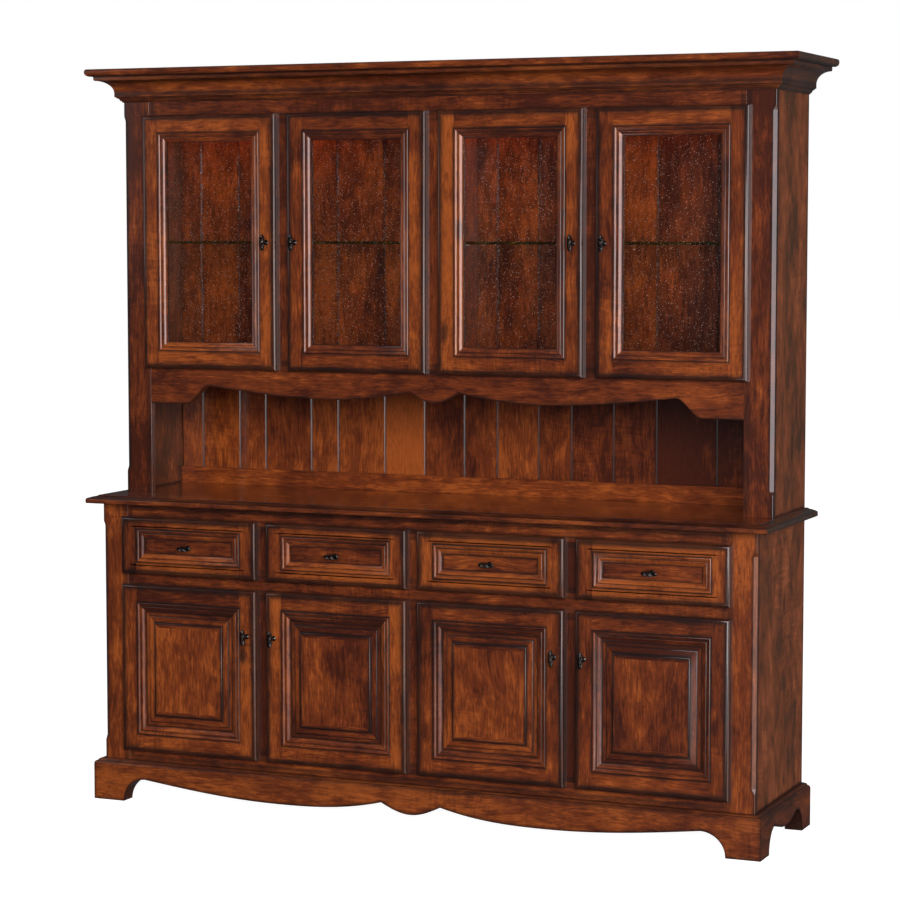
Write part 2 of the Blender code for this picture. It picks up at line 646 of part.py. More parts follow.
def build_crown():
    """A cove moulding round the front and ends, under a flat cap with a rounded nose."""
    foot = scaled(CROWN_FOOT_SHARES, CROWN_REACH, CROWN_HEIGHT)
    start = scaled([CROWN_COVE_START_SHARES], CROWN_REACH, CROWN_HEIGHT)[0]
    end = scaled([CROWN_COVE_END_SHARES], CROWN_REACH, CROWN_HEIGHT)[0]
    cove = elliptic_arc((end[0], start[1]), end[0] - start[0], end[1] - start[1], 180, 90, ARC_STEPS)
    head = scaled(CROWN_HEAD_SHARES, CROWN_REACH, CROWN_HEIGHT - FIT_GAP)
    outline = [(FIT_GAP, 0)] + foot + cove + head + [(FIT_GAP, head[-1][1])]
    profile = [(out, CROWN_FOOT + up) for out, up in outline]
    corners = ((-1, "back"), (-1, "front"), (1, "front"), (1, "back"))
    run = moulding_run(profile, corners, HUTCH_FACE)
    add_object("crown_moulding", loft_mesh("crown_moulding", run), WOOD)
    rings = []
    for inward, up in scaled(CAP_SHARES, CAP_NOSE_WIDTH, CAP_THICKNESS):
        rings.append(board_ring(CAP_REACH - inward, HUTCH_FACE, CAP_FOOT + up))
    add_object("hutch_cap", loft_mesh("hutch_cap", rings), WOOD)


def front_ring(width, height, inset_x, inset_z, depth):
    """A rectangle of an upright front, drawn in from its edges and set back from its face."""
    x = width / 2 - inset_x
    z = height / 2 - inset_z
    return [(-x, depth, -z), (x, depth, -z), (x, depth, z), (-x, depth, z)]


def face_rings(width, height, stile, rail, moulding_width, moulding_depth):
    """Rings from the back of a framed front, round its outer edge, to the end of its moulding."""
    rings = [front_ring(width, height, 0, 0, FRONT_THICKNESS)]
    radius = FRONT_EDGE_RADIUS
    for inset, depth in elliptic_arc((radius, radius), radius, radius, 180, 270, EDGE_ARC_STEPS):
        rings.append(front_ring(width, height, inset, inset, depth))
    for across, down in scaled(MOULDING_SHARES, moulding_width, moulding_depth):
        rings.append(front_ring(width, height, stile + across, rail + across, down))
    return rings


def door_frame_mesh(name, width, height, slot):
    """Stiles and rails as one glued frame, with a moulded inner edge and a groove behind it."""
    rings = face_rings(width, height, DOOR_STILE, DOOR_STILE, MOULDING_WIDTH, MOULDING_DEPTH)
    inner = DOOR_STILE + MOULDING_WIDTH
    bottom = inner - GROOVE_DEPTH
    near = MOULDING_DEPTH
    far = near + slot + FIT_GAP + FIT_GAP
    groove = ((inner, near), (bottom, near), (bottom, far), (inner, far), (inner, FRONT_THICKNESS))
    for inset, depth in groove:
        rings.append(front_ring(width, height, inset, inset, depth))
    return loft_mesh(name, rings, closed=True)


def glass_mesh(name, width, height):
    inset = DOOR_STILE + MOULDING_WIDTH - GROOVE_DEPTH + FIT_GAP
    near = MOULDING_DEPTH + FIT_GAP
    rings = [front_ring(width, height, inset, inset, depth) for depth in (near, near + GLASS_THICKNESS)]
    return loft_mesh(name, rings)


def raised_panel_mesh(name, width, height):
    """A panel whose tongue sits in the frame's groove and whose bevelled field stands forward."""
    edge = DOOR_STILE + MOULDING_WIDTH - GROOVE_DEPTH + FIT_GAP
    land = DOOR_STILE + MOULDING_WIDTH + PANEL_EDGE_LAND
    field = land + PANEL_BEVEL_WIDTH
    near = MOULDING_DEPTH + FIT_GAP
    rim = near - PANEL_BEVEL_FALL
    steps = (
        (edge, near + PANEL_TONGUE), (edge, near), (land, near),
        (field, rim), (field, rim - PANEL_FIELD_STEP),
    )
    rings = [front_ring(width, height, inset, inset, depth) for inset, depth in steps]
    return loft_mesh(name, rings)


def drawer_front_mesh(name, width, height):
    return loft_mesh(name, face_rings(
        width, height, DRAWER_STILE, DRAWER_RAIL, DRAWER_MOULDING_WIDTH, DRAWER_MOULDING_DEPTH))


def pull_radius(share, angle):
    """A spindle that is thickest in its middle, with flutes that wind round it."""
    swell = math.sqrt(math.sin(math.pi * share))
    smooth = PULL_END_RADIUS + (PULL_RADIUS - PULL_END_RADIUS) * swell
    wind = math.tau * PULL_TWIST_TURNS * share
    flute = PULL_FLUTE / 2 * swell * (1 - math.cos(PULL_LOBES * (angle - wind)))
    return smooth - flute


def pull_mesh():
    """A twisted spindle on a tapered neck, its spindle upright and its foot at the origin."""
    rings = []
    for ring in range(PULL_RINGS):
        share = ring / (PULL_RINGS - 1)
        z = PULL_LENGTH * share - PULL_LENGTH / 2
        points = []
        for side in range(PULL_SIDES):
            angle = math.tau * side / PULL_SIDES
            radius = pull_radius(share, angle)
            points.append((radius * math.cos(angle), radius * math.sin(angle) - PULL_STANDOFF, z))
        rings.append(points)
    spindle = add_object("pull_spindle", loft_mesh("pull_spindle", rings), cutter=True)
    bm = bmesh.new()
    bmesh.ops.create_cone(
        bm, cap_ends=True, segments=PULL_NECK_SIDES, radius1=PULL_FOOT_RADIUS,
        radius2=PULL_NECK_RADIUS, depth=PULL_STANDOFF)
    neck = add_object("pull_neck", mesh_of("pull_neck", bm), cutter=True)
    neck.rotation_euler = (math.pi / 2, 0, 0)
    neck.location = (0, -PULL_STANDOFF / 2, 0)
    cut(spindle, neck, "UNION")
    mesh = settled_mesh(spindle, "pull")
    mesh.shade_smooth()
    mesh.set_sharp_from_angle(angle=math.radians(PULL_SHARP_DEGREES))
    bpy.data.objects.remove(spindle, do_unlink=True)
    bpy.data.objects.remove(neck, do_unlink=True)
    return mesh


def hinge_empty(name, location):
    """An empty on a moving piece's axis, which carries everything that moves with it."""
    empty = bpy.data.objects.new(name, None)
    PIECES.objects.link(empty)
    empty.location = location
    return empty


def add_pull(name, parent, mesh, location, lying=False):
    pull = add_object(name, mesh.copy(), IRON)
    if lying:
        pull.rotation_euler = (0, math.pi / 2, 0)
    return place(pull, location, parent)


def build_door(name, centre_x, face, foot, width, height, hinge_side, pull, pull_height, glazed):
    """One door on its hinge axis: its frame, its glass or panel, and its pull."""
    front = face - DOOR_GAP - FRONT_THICKNESS
    pivot_x = centre_x + hinge_side * (width / 2 - HINGE_INSET)
    pivot_y = front + HINGE_BEHIND_FACE
    hinge = hinge_empty(f"{name}_hinge", (pivot_x, pivot_y, foot + height / 2))
    middle = (centre_x - pivot_x, front - pivot_y, 0)
    slot = GLASS_THICKNESS if glazed else PANEL_TONGUE
    frame = add_object(f"{name}_frame", door_frame_mesh(f"{name}_frame", width, height, slot), WOOD)
    place(frame, middle, hinge)
    if glazed:
        filling = add_object(f"{name}_glass", glass_mesh(f"{name}_glass", width, height), SEEDED_GLASS)
    else:
        filling = add_object(f"{name}_panel", raised_panel_mesh(f"{name}_panel", width, height), WOOD)
    place(filling, middle, hinge)
    pull_x = -hinge_side * (width / 2 - PULL_EDGE_INSET)
    where = (middle[0] + pull_x, middle[1] - FIT_GAP, pull_height - height / 2)
    add_pull(f"{name}_pull", hinge, pull, where)


def build_doors(pull):
    """Four glazed doors over four panelled doors, hinged in pairs that meet free edge to free edge."""
    upper_width = front_width(UPPER_MARGIN, UPPER_SPACING)
    lower_width = front_width(LOWER_MARGIN, LOWER_SPACING)
    for column in range(COLUMNS):
        hinge_side = -1 if column % BAYS == 0 else 1
        number = column + 1
        centre = column_centre(column, UPPER_MARGIN, UPPER_SPACING)
        build_door(f"upper_door_{number}", centre, HUTCH_FACE, UPPER_DOOR_FOOT, upper_width,
                   UPPER_DOOR_HEIGHT, hinge_side, pull, UPPER_DOOR_HEIGHT / 2, True)
        centre = column_centre(column, LOWER_MARGIN, LOWER_SPACING)
        build_door(f"lower_door_{number}", centre, BASE_FACE, LOWER_DOOR_FOOT, lower_width,
                   LOWER_DOOR_HEIGHT, hinge_side, pull, LOWER_DOOR_HEIGHT - LOWER_PULL_DROP, False)


def drawer_box(name, centre, slide, origin):
    """An open box: four walls, and a floor let into them above their lower edges."""
    half = front_width(LOWER_MARGIN, LOWER_SPACING) / 2 - OVERLAY - DRAWER_SIDE_GAP
    near = BASE_FACE - DOOR_GAP + FIT_GAP
    far = BACK_PLANE - BACK_THICKNESS - BOX_BACK_GAP
    foot = DRAWER_BOX_FOOT
    head = foot + DRAWER_BOX_HEIGHT
    low = (centre - half, near, foot)
    high = (centre + half, far, head)
    body = box(name, low, high, PALE_WOOD, parent=slide, origin=origin)
    inner_low = (centre - half + BOX_WALL, near + BOX_WALL)
    inner_high = (centre + half - BOX_WALL, far - BOX_WALL)
    floor = foot + BOX_FLOOR_RISE
    hollow_low = (*inner_low, floor + BOX_FLOOR)
    hollow = box(f"{name}_hollow", hollow_low, (*inner_high, head + OVERRUN), cutter=True)
    recess = box(f"{name}_recess", (*inner_low, foot - OVERRUN), (*inner_high, floor), cutter=True)
    cut(body, hollow)
    cut(body, recess)


def build_drawers(pull):
    width = front_width(LOWER_MARGIN, LOWER_SPACING)
    front = BASE_FACE - DOOR_GAP - FRONT_THICKNESS
    for column in range(COLUMNS):
        name = f"drawer_{column + 1}"
        centre = column_centre(column, LOWER_MARGIN, LOWER_SPACING)
        origin = (centre, front, DRAWER_FOOT + DRAWER_HEIGHT / 2)
        slide = hinge_empty(f"{name}_slide", origin)
        face = add_object(f"{name}_front", drawer_front_mesh(f"{name}_front", width, DRAWER_HEIGHT), WOOD)
        place(face, (0, 0, 0), slide)
        drawer_box(f"{name}_box", centre, slide, origin)
        add_pull(f"{name}_pull", slide, pull, (0, moulding_floor() - FIT_GAP, 0), lying=True)


def moulding_floor():
    """How far a drawer front's flat panel lies behind its face."""
    return MOULDING_SHARES[-1][1] * DRAWER_MOULDING_DEPTH


clear_scene()
PIECES = make_collection(OBJECT_NAME)
CUTTERS = make_collection(OBJECT_NAME + "_cutters")
build_plinth()
build_base_carcass()
build_base_face_frame()
build_buffet_top()
build_hutch_carcass()
build_hutch_face_frame()
build_crown()
PULL = pull_mesh()
build_doors(PULL)
build_drawers(PULL)
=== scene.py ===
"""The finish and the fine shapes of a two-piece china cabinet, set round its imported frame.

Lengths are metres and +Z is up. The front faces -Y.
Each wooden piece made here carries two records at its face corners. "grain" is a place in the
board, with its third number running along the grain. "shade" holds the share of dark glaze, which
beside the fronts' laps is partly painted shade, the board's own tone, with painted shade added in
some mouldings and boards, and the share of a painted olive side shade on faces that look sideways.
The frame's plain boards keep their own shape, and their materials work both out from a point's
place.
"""

import math
import random

import bmesh
import bpy
from mathutils import Matrix, Vector


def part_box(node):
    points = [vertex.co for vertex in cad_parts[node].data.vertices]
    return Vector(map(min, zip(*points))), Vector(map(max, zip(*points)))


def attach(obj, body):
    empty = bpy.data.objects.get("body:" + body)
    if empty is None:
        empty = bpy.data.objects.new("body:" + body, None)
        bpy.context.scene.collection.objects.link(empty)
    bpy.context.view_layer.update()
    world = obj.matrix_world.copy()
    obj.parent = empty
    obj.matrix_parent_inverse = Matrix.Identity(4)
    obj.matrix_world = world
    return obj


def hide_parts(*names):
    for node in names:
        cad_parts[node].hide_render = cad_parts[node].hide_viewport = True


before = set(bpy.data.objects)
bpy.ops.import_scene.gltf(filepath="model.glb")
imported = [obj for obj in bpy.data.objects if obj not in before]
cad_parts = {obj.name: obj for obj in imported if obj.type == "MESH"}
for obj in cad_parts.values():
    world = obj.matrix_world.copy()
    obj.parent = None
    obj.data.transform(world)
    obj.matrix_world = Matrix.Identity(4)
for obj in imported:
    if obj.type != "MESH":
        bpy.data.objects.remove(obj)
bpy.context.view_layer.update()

# Fronts
EDGE_RADIUS = 0.009
STILE = 0.050
MOULDING_WIDTH = 0.0265
MOULDING_DEPTH = 0.009
DRAWER_STILE = 0.050
DRAWER_RAIL = 0.034
GROOVE = 0.008
FRONT_THICKNESS = 0.019
FIT = 0.0003
OVERLAY = 0.0127
COLUMNS = 4

# Corner chamfers, plinth and rail
CHAMFER = 0.009
ARRIS = 0.0012
INNER_ARRIS = 0.0006
TONGUE = 0.018
HUTCH_STOP = 0.055
HUTCH_HEAD_STOP = 0.037
BASE_STOP = 0.049
PLINTH_REACH = 0.025
PLINTH_THICKNESS = 0.050
FOOT_LENGTH = 0.096
COVE_RUN = 0.069
SIDE_FOOT_LENGTH = 0.076
SIDE_COVE_RUN = 0.057
RAIL_FLAT = 0.2548
RAIL_WAVE = 0.052

# Outlines. The first two are in millimetres, and the others in shares of a width and a height
STICKING = (
    # inwards and down in millimetres, and glaze, from the flat of a stile towards its panel or glass
    (0.0, 0.2, 0.80), (0.3, 1.2, 1.00), (1.2, 1.35, 1.00), (2.0, 0.9, 0.70), (2.8, 0.45, 0.35),
    (3.8, 0.25, 0.20), (4.8, 0.5, 0.15), (5.8, 1.2, 0.15), (6.8, 2.0, 0.25), (8.0, 2.6, 0.35),
    (10.0, 3.1, 0.40), (11.4, 3.45, 0.75), (12.0, 3.6, 1.00), (12.5, 3.2, 0.80), (13.3, 2.8, 0.30),
    (14.4, 2.9, 0.15), (15.8, 3.4, 0.10), (17.2, 4.2, 0.10), (18.8, 5.2, 0.12), (20.4, 6.1, 0.20),
    (22.2, 6.9, 0.30), (24.2, 7.6, 0.45), (25.6, 8.0, 0.80), (26.5, 8.1, 1.00),
)
PANEL_RELIEF = (
    # inwards and down in millimetres, and glaze, from the moulding to the raised field
    (0.0, 8.5, 1.00), (2.0, 8.5, 0.60), (5.0, 8.5, 0.25), (9.5, 8.5, 0.35), (11.2, 8.45, 0.85),
    (11.9, 8.3, 1.00), (12.1, 5.9, 1.00), (12.5, 5.6, 0.80), (13.6, 5.4, 0.40), (14.8, 5.25, 0.18),
    (17.0, 4.95, 0.08), (22.0, 4.2, 0.10), (26.0, 3.6, 0.38), (28.2, 3.25, 0.88), (29.9, 3.0, 1.00),
    (30.0, 2.3, 1.00), (30.3, 1.4, 1.00), (31.0, 0.5, 0.98), (32.0, 0.12, 0.95), (33.0, 0.0, 0.86),
    (34.6, 0.0, 0.55), (37.5, 0.0, 0.25), (43.0, 0.0, 0.05),
)
CROWN = (
    # outwards, upwards and glaze, from the foot of the crown
    (0.05, 0.00, 0.90), (0.06, 0.03, 0.70), (0.07, 0.055, 0.50), (0.12, 0.06, 0.85), (0.13, 0.09, 0.60),
    (0.15, 0.13, 0.35), (0.19, 0.155, 0.30), (0.235, 0.16, 0.50), (0.24, 0.20, 0.95), (0.30, 0.205, 0.60),
    (0.31, 0.24, 0.50), (0.31, 0.30, 0.80),
)
CROWN_HEAD = ((0.975, 0.865, 0.50), (0.975, 0.89, 0.90), (0.985, 0.895, 0.40), (0.985, 1.00, 0.70))
CAP_NOSE = (
    # inwards, upwards and glaze, from the tip of the cap's nose
    (0.75, 0.00, 1.00), (0.50, 0.005, 0.90), (0.44, 0.03, 0.80), (0.34, 0.05, 0.70), (0.30, 0.10, 0.95),
    (0.24, 0.11, 0.60), (0.17, 0.15, 0.30), (0.09, 0.25, 0.15), (0.03, 0.40, 0.10), (0.00, 0.57, 0.10),
    (0.015, 0.73, 0.20), (0.06, 0.87, 0.40), (0.14, 0.96, 0.60), (0.24, 1.00, 0.60),
)
TOP_EDGE = (
    # inwards, upwards and glaze, from the tip of the buffet top
    (0.12, 0.00, 1.00), (0.05, 0.02, 0.90), (0.015, 0.07, 0.70), (0.00, 0.15, 0.30), (0.00, 0.46, 0.20),
    (0.015, 0.54, 0.30), (0.05, 0.60, 0.60), (0.11, 0.645, 0.95), (0.13, 0.66, 1.00), (0.25, 0.71, 0.40),
    (0.40, 0.77, 0.30), (0.56, 0.82, 0.30), (0.72, 0.86, 0.40), (0.88, 0.89, 0.80), (0.93, 0.895, 1.00),
    (0.95, 0.91, 0.80), (0.97, 0.96, 0.40), (1.00, 1.00, 0.30),
)
PLINTH_EDGE = (
    # inwards, downwards and glaze, from the plinth's face
    (0.00, 1.00, 0.25), (0.01, 0.86, 0.35), (0.04, 0.70, 0.55), (0.10, 0.58, 0.60), (0.18, 0.49, 0.50),
    (0.28, 0.42, 0.50), (0.41, 0.37, 0.95), (0.43, 0.30, 0.80), (0.45, 0.20, 0.50), (0.52, 0.12, 0.40),
    (0.70, 0.06, 0.60), (1.00, 0.00, 0.95),
)
# How wide the back boards are, as shares of their row
BOARD_SHARES = (
    0.0372, 0.0653, 0.0452, 0.0790, 0.0458, 0.0788, 0.0663, 0.0657,
    0.0532, 0.0659, 0.0525, 0.0660, 0.0667, 0.0921, 0.0655, 0.0548,
)
# How light each back board is, in the open niche and in the cupboard over it. In the niche the
# right-hand boards are darkened as painted shadow, the shade of the hutch's right side
NICHE_TONES_WITH_SHADOW = (0.2, 0.2, 0.3, 0.1, 0.9, 0.4, 1.6, -0.3, 0.1, 0.6, 0.2, -1.2, -0.6, -1.4, -1.5, -1.5)
CUPBOARD_TONES = (0.4, 0.5, -0.2, -0.3, 0.4, 0.1, 0.5, 0.0, -0.2, -0.2, -0.3, 0.2, 0.4, -0.7, -0.6, -0.6)

FRONT_TONES = {
    # how light each board is: left stile, right stile, foot rail, head rail, field
    "upper_door_1": (0.2, 0.7, 0.9, 0.7),
    "upper_door_2": (0.2, 0.7, -0.1, -0.4),
    "upper_door_3": (1.4, 0.3, 0.7, 0.2),
    "upper_door_4": (-0.1, 0.2, 0.0, 0.4),
    "lower_door_1": (0.4, 0.5, 0.4, -0.6, 0.5),
    "lower_door_2": (0.9, 0.6, 0.1, 0.1, -0.3),
    "lower_door_3": (-0.1, 0.1, 0.2, 0.1, 0.4),
    "lower_door_4": (-0.3, -0.4, 0.1, -0.3, -0.4),
    "drawer_1": (-1.0, 0.6, 0.9, 0.5, -0.3),
    "drawer_2": (0.2, -0.1, 0.8, 0.9, -0.5),
    "drawer_3": (0.8, 1.0, 1.0, 1.9, 0.0),
    "drawer_4": (0.4, 0.8, 1.5, 1.7, -0.1),
}
FRAME_TONES_WITH_SHADE = {
    # the same for the face frames: left stile, right stile, the stiles between, then the rails.
    # The stiles between are partly darkened as painted shade from the fronts beside them
    "hutch": ((-0.6, -1.0), (-0.5, -0.1, -1.0), (-0.7, -0.1)),
    "base": ((0.7, 0.5), (-1.1, -0.6, -1.5), (0.1, -0.2, -0.2)),
}
PLINTH_TONE = 0.6
BACK_RAIL_TONE = 0.2


# Node tools


class Graph:
    """Adds nodes to one node tree and joins them."""

    def __init__(self, tree):
        self.tree = tree

    def node(self, kind, values=None, **settings):
        made = self.tree.nodes.new(kind)
        for name, value in settings.items():
            setattr(made, name, value)
        for name, value in (values or {}).items():
            self.give(made.inputs[name], value)
        return made

    def give(self, socket, value):
        if isinstance(value, bpy.types.NodeSocket):
            self.tree.links.new(value, socket)
        else:
            socket.default_value = value

    def place(self):
        return self.node("ShaderNodeTexCoord").outputs["Object"]

    def math(self, operation, *values, clamp=False):
        made = self.node(
            "ShaderNodeMath", dict(enumerate(values)), operation=operation, use_clamp=clamp)
        return made.outputs[0]

    def vector(self, operation, *values):
        made = self.node("ShaderNodeVectorMath", dict(enumerate(values)), operation=operation)
        return made.outputs["Vector"]

    def mix(self, share, first, second, blend="MIX"):
        made = self.node(
            "ShaderNodeMix", {0: share, 6: first, 7: second}, data_type="RGBA", blend_type=blend)
        return made.outputs[2]

    def fade(self, value, low, high, to_low=0.0, to_high=1.0):
        made = self.node(
            "ShaderNodeMapRange",
            {"Value": value, "From Min": low, "From Max": high, "To Min": to_low, "To Max": to_high},
            interpolation_type="SMOOTHSTEP")
        return made.outputs[0]

    def noise(self, place, stretch, detail=2.0, rough=0.5):
        spread = self.vector("MULTIPLY", place, stretch)
        made = self.node(
            "ShaderNodeTexNoise", {"Vector": spread, "Scale": 1.0, "Detail": detail, "Roughness": rough})
        return made.outputs[0]

    def cells(self, place, stretch):
        spread = self.vector("MULTIPLY", place, stretch)
        made = self.node("ShaderNodeTexVoronoi", {"Vector": spread, "Scale": 1.0})
        return made.outputs["Distance"], made.outputs["Color"]


def open_group(name, kind, inputs, outputs):
    """A node group's graph, the sockets that it is given and the sockets of its results."""
    tree = bpy.data.node_groups.new(name, kind)
    for label, socket_type, value in inputs:
        socket = tree.interface.new_socket(name=label, in_out="INPUT", socket_type=socket_type)
        if value is not None:
            socket.default_value = value
    for label, socket_type in outputs:
        tree.interface.new_socket(name=label, in_out="OUTPUT", socket_type=socket_type)
    graph = Graph(tree)
    return graph, graph.node("NodeGroupInput").outputs, graph.node("NodeGroupOutput").inputs


FLOAT, VECTOR, COLOUR = "NodeSocketFloat", "NodeSocketVector", "NodeSocketColor"


# Noises in the stained wood: their pace across and along the grain, their detail and their roughness
CLOUDS = ((8.0, 8.0, 3.4), 8.0, 0.66)
SPOTS = ((34.0, 34.0, 17.0), 6.0, 0.66)
STREAKS = ((150.0, 150.0, 11.0), 3.0, 0.6)
THREADS = ((260.0, 260.0, 26.0), 2.0, 0.6)
PORES = ((620.0, 620.0, 20.0), 2.0, 0.6)
CURL = ((11.0, 11.0, 135.0), 1.0, 0.5)
CURLY_PATCHES = ((3.1, 3.1, 2.1), 1.0)
RINGS = ((26.0, 26.0, 1.3), 1.0, 0.4)
RUBBING = ((40.0, 40.0, 11.0), 4.0, 0.6)
SMUDGES = ((17.0, 17.0, 9.0), 4.0, 0.65)
HOLE_PATCHES = ((7.0, 7.0, 5.0), 2.0)
PINHOLES = (
    # pace, rarity and size of the wormholes and of the larger dents
    ((210.0, 210.0, 120.0), 0.955, 0.24), ((75.0, 75.0, 38.0), 0.94, 0.14),
)
KNOTS = (6.5, 6.5, 2.6)
DRIFT_PACE = 5.0
DRIFT = (0.035, 0.035, 0.10)
CLOUD_WEIGHT, SPOT_WEIGHT, STREAK_WEIGHT, THREAD_WEIGHT = 2.4, 1.3, 0.9, 0.9
RING_WEIGHT, CURL_WEIGHT, TONE_WEIGHT, PORE_WEIGHT, RUB_WEIGHT = 0.05, 0.6, 0.38, 1.7, 3.2
RING_LINES = 62.0
MOST_GLAZE = 0.93
# Where a value fades in: from and to, and the shares at those two where they aren't 0 and 1
CURLY_FADE = (0.50, 0.68)
DARK_TO_MIDDLE = (0.0, 0.55)
MIDDLE_TO_LIGHT = (0.45, 1.1)
# the painted side shade comes and goes with the clouds
SIDE_SHADE_FADE = (0.2, 0.7, 1.0, 0.55)
SMUDGE_FADE = (0.61, 0.74, 0.0, 0.50)
CROWD_FADE = (0.42, 0.62)
KNOT_FADE = (0.03, 0.13, 0.85, 0.0)
KNOT_RARITY = 0.80
HOLE_GLAZE, HOLE_CORE_SHARE = 0.95, 0.6
STREAK_ROUGHNESS, WOOD_ROUGHNESS = 0.12, 0.27
PORE_HEIGHT, SPOT_HEIGHT, HOLE_HEIGHT = 0.25, 0.8, -1.5


def stain_group():
    """Blotchy stained hardwood: streaks, cross figure, pinholes, knots, rubbed dark glaze, painted side
    shade.
    """
    graph, given, result = open_group(
        "stained_board", "ShaderNodeTree",
        (("Place", VECTOR, None), ("Glaze", FLOAT, 0.0), ("Tone", FLOAT, 0.0), ("Side shade", FLOAT, 0.0),
         ("Blotch", FLOAT, 1.0), ("Light", COLOUR, None), ("Middle", COLOUR, None), ("Dark", COLOUR, None),
         ("Side shade colour", COLOUR, None), ("Glaze colour", COLOUR, None)),
        (("Colour", COLOUR), ("Roughness", FLOAT), ("Height", FLOAT)))
    place = given["Place"]
    drift = graph.node("ShaderNodeTexNoise", {"Vector": place, "Scale": DRIFT_PACE, "Detail": 1.0})
    drift = graph.vector("SUBTRACT", drift.outputs["Color"], (0.5, 0.5, 0.5))
    drift = graph.vector("MULTIPLY", drift, DRIFT)
    bent = graph.vector("ADD", place, drift)
    cloud, spot, streak, thread, fine, curl = (
        graph.noise(bent, *values) for values in (CLOUDS, SPOTS, STREAKS, THREADS, PORES, CURL))
    curled = graph.fade(graph.noise(place, *CURLY_PATCHES), *CURLY_FADE)
    rings = graph.noise(bent, *RINGS)
    rings = graph.math("SINE", graph.math("MULTIPLY", rings, RING_LINES))

    def part(value, weight):
        return graph.math("MULTIPLY", graph.math("SUBTRACT", value, 0.5), weight)

    level = graph.math("MULTIPLY_ADD", part(cloud, CLOUD_WEIGHT), given["Blotch"], 0.5)
    for value, weight in ((spot, SPOT_WEIGHT), (streak, STREAK_WEIGHT), (thread, THREAD_WEIGHT)):
        level = graph.math("ADD", level, part(value, weight))
    level = graph.math("MULTIPLY_ADD", rings, RING_WEIGHT, level)
    level = graph.math("MULTIPLY_ADD", part(curl, CURL_WEIGHT), curled, level)
    level = graph.math("MULTIPLY_ADD", given["Tone"], TONE_WEIGHT, level)
    colour = graph.mix(
        graph.fade(level, *DARK_TO_MIDDLE), given["Dark"], given["Middle"])
    colour = graph.mix(graph.fade(level, *MIDDLE_TO_LIGHT), colour, given["Light"])
    # Painted side shade: faces that look sideways are greyed towards dull olive for their dimmer light
    side_shaded = graph.math("MULTIPLY", graph.fade(cloud, *SIDE_SHADE_FADE), given["Side shade"])
    colour = graph.mix(side_shaded, colour, given["Side shade colour"])
    grainy = graph.math("ADD", part(fine, PORE_WEIGHT), 1.0)
    tint = graph.node("ShaderNodeCombineXYZ", {0: grainy, 1: grainy, 2: grainy}).outputs[0]
    colour = graph.mix(1.0, colour, tint, "MULTIPLY")

    rubbed = part(graph.noise(bent, *RUBBING), RUB_WEIGHT)
    uneven = graph.math("MULTIPLY", rubbed, graph.math("SUBTRACT", 1.0, given["Glaze"]))
    amount = graph.math("MULTIPLY_ADD", uneven, given["Glaze"], given["Glaze"])
    smudge = graph.fade(graph.noise(place, *SMUDGES), *SMUDGE_FADE)
    amount = graph.math("MAXIMUM", amount, smudge)

    crowd = graph.fade(graph.noise(place, *HOLE_PATCHES), *CROWD_FADE)
    for pace, rarity, size in PINHOLES:
        dot, lot = graph.cells(place, pace)
        chance = graph.node("ShaderNodeSeparateColor", {0: lot}).outputs[0]
        pick = graph.math("GREATER_THAN", chance, rarity)
        hole = graph.fade(dot, size * HOLE_CORE_SHARE, size, HOLE_GLAZE, 0.0)
        hole = graph.math("MULTIPLY", hole, pick)
        hole = graph.math("MULTIPLY", hole, crowd)
        amount = graph.math("MAXIMUM", amount, hole)
    eye, lot = graph.cells(bent, KNOTS)
    chance = graph.node("ShaderNodeSeparateColor", {0: lot}).outputs[1]
    rare = graph.math("GREATER_THAN", chance, KNOT_RARITY)
    knot = graph.math("MULTIPLY", graph.fade(eye, *KNOT_FADE), rare)
    amount = graph.math("MAXIMUM", amount, knot, clamp=True)
    colour = graph.mix(graph.math("MULTIPLY", amount, MOST_GLAZE), colour, given["Glaze colour"])

    roughness = graph.math("MULTIPLY_ADD", streak, STREAK_ROUGHNESS, WOOD_ROUGHNESS)
    height = graph.math("MULTIPLY", spot, SPOT_HEIGHT)
    height = graph.math("MULTIPLY_ADD", fine, PORE_HEIGHT, height)
    height = graph.math("MULTIPLY_ADD", hole, HOLE_HEIGHT, height)
    for label, value in (("Colour", colour), ("Roughness", roughness), ("Height", height)):
        graph.give(result[label], value)
    return graph.tree


STAIN = stain_group()

LIGHT_STAIN = (0.310, 0.075, 0.0140, 1.0)
MIDDLE_STAIN = (0.140, 0.0295, 0.0080, 1.0)
DARK_STAIN = (0.055, 0.0120, 0.0056, 1.0)
FRONT_STAIN = (LIGHT_STAIN, MIDDLE_STAIN, DARK_STAIN)
GLAZE_COLOUR = (0.0090, 0.0062, 0.0058, 1.0)
# The dull olive of the painted side shade
SIDE_SHADE_COLOUR = (0.062, 0.041, 0.022, 1.0)


def principled(name, values):
    """A new material, its graph and its shader, whose named inputs get the given values."""
    material = bpy.data.materials.new(name)
    material.use_nodes = True
    graph, shader = Graph(material.node_tree), material.node_tree.nodes["Principled BSDF"]
    for label, value in values.items():
        graph.give(shader.inputs[label], value)
    return material, graph, shader


def worked(name, pattern, colours, roughness, values):
    """A finish whose colours and roughness follow one noise. Its graph, shader and noise come along."""
    material, graph, shader = principled(name, values)
    patch = graph.noise(graph.place(), *pattern)
    if colours:
        graph.give(shader.inputs["Base Color"], graph.mix(patch, *colours))
    if roughness:
        graph.give(shader.inputs["Roughness"], graph.math("MULTIPLY_ADD", patch, *roughness))
    return material, graph, shader, patch


METAL = {"Metallic": 1.0}
PORE_DEPTH = 0.0006
PORE_STRENGTH = 0.25
WOOD_SHINE = 0.12
LACQUER_ROUGHNESS = 0.11


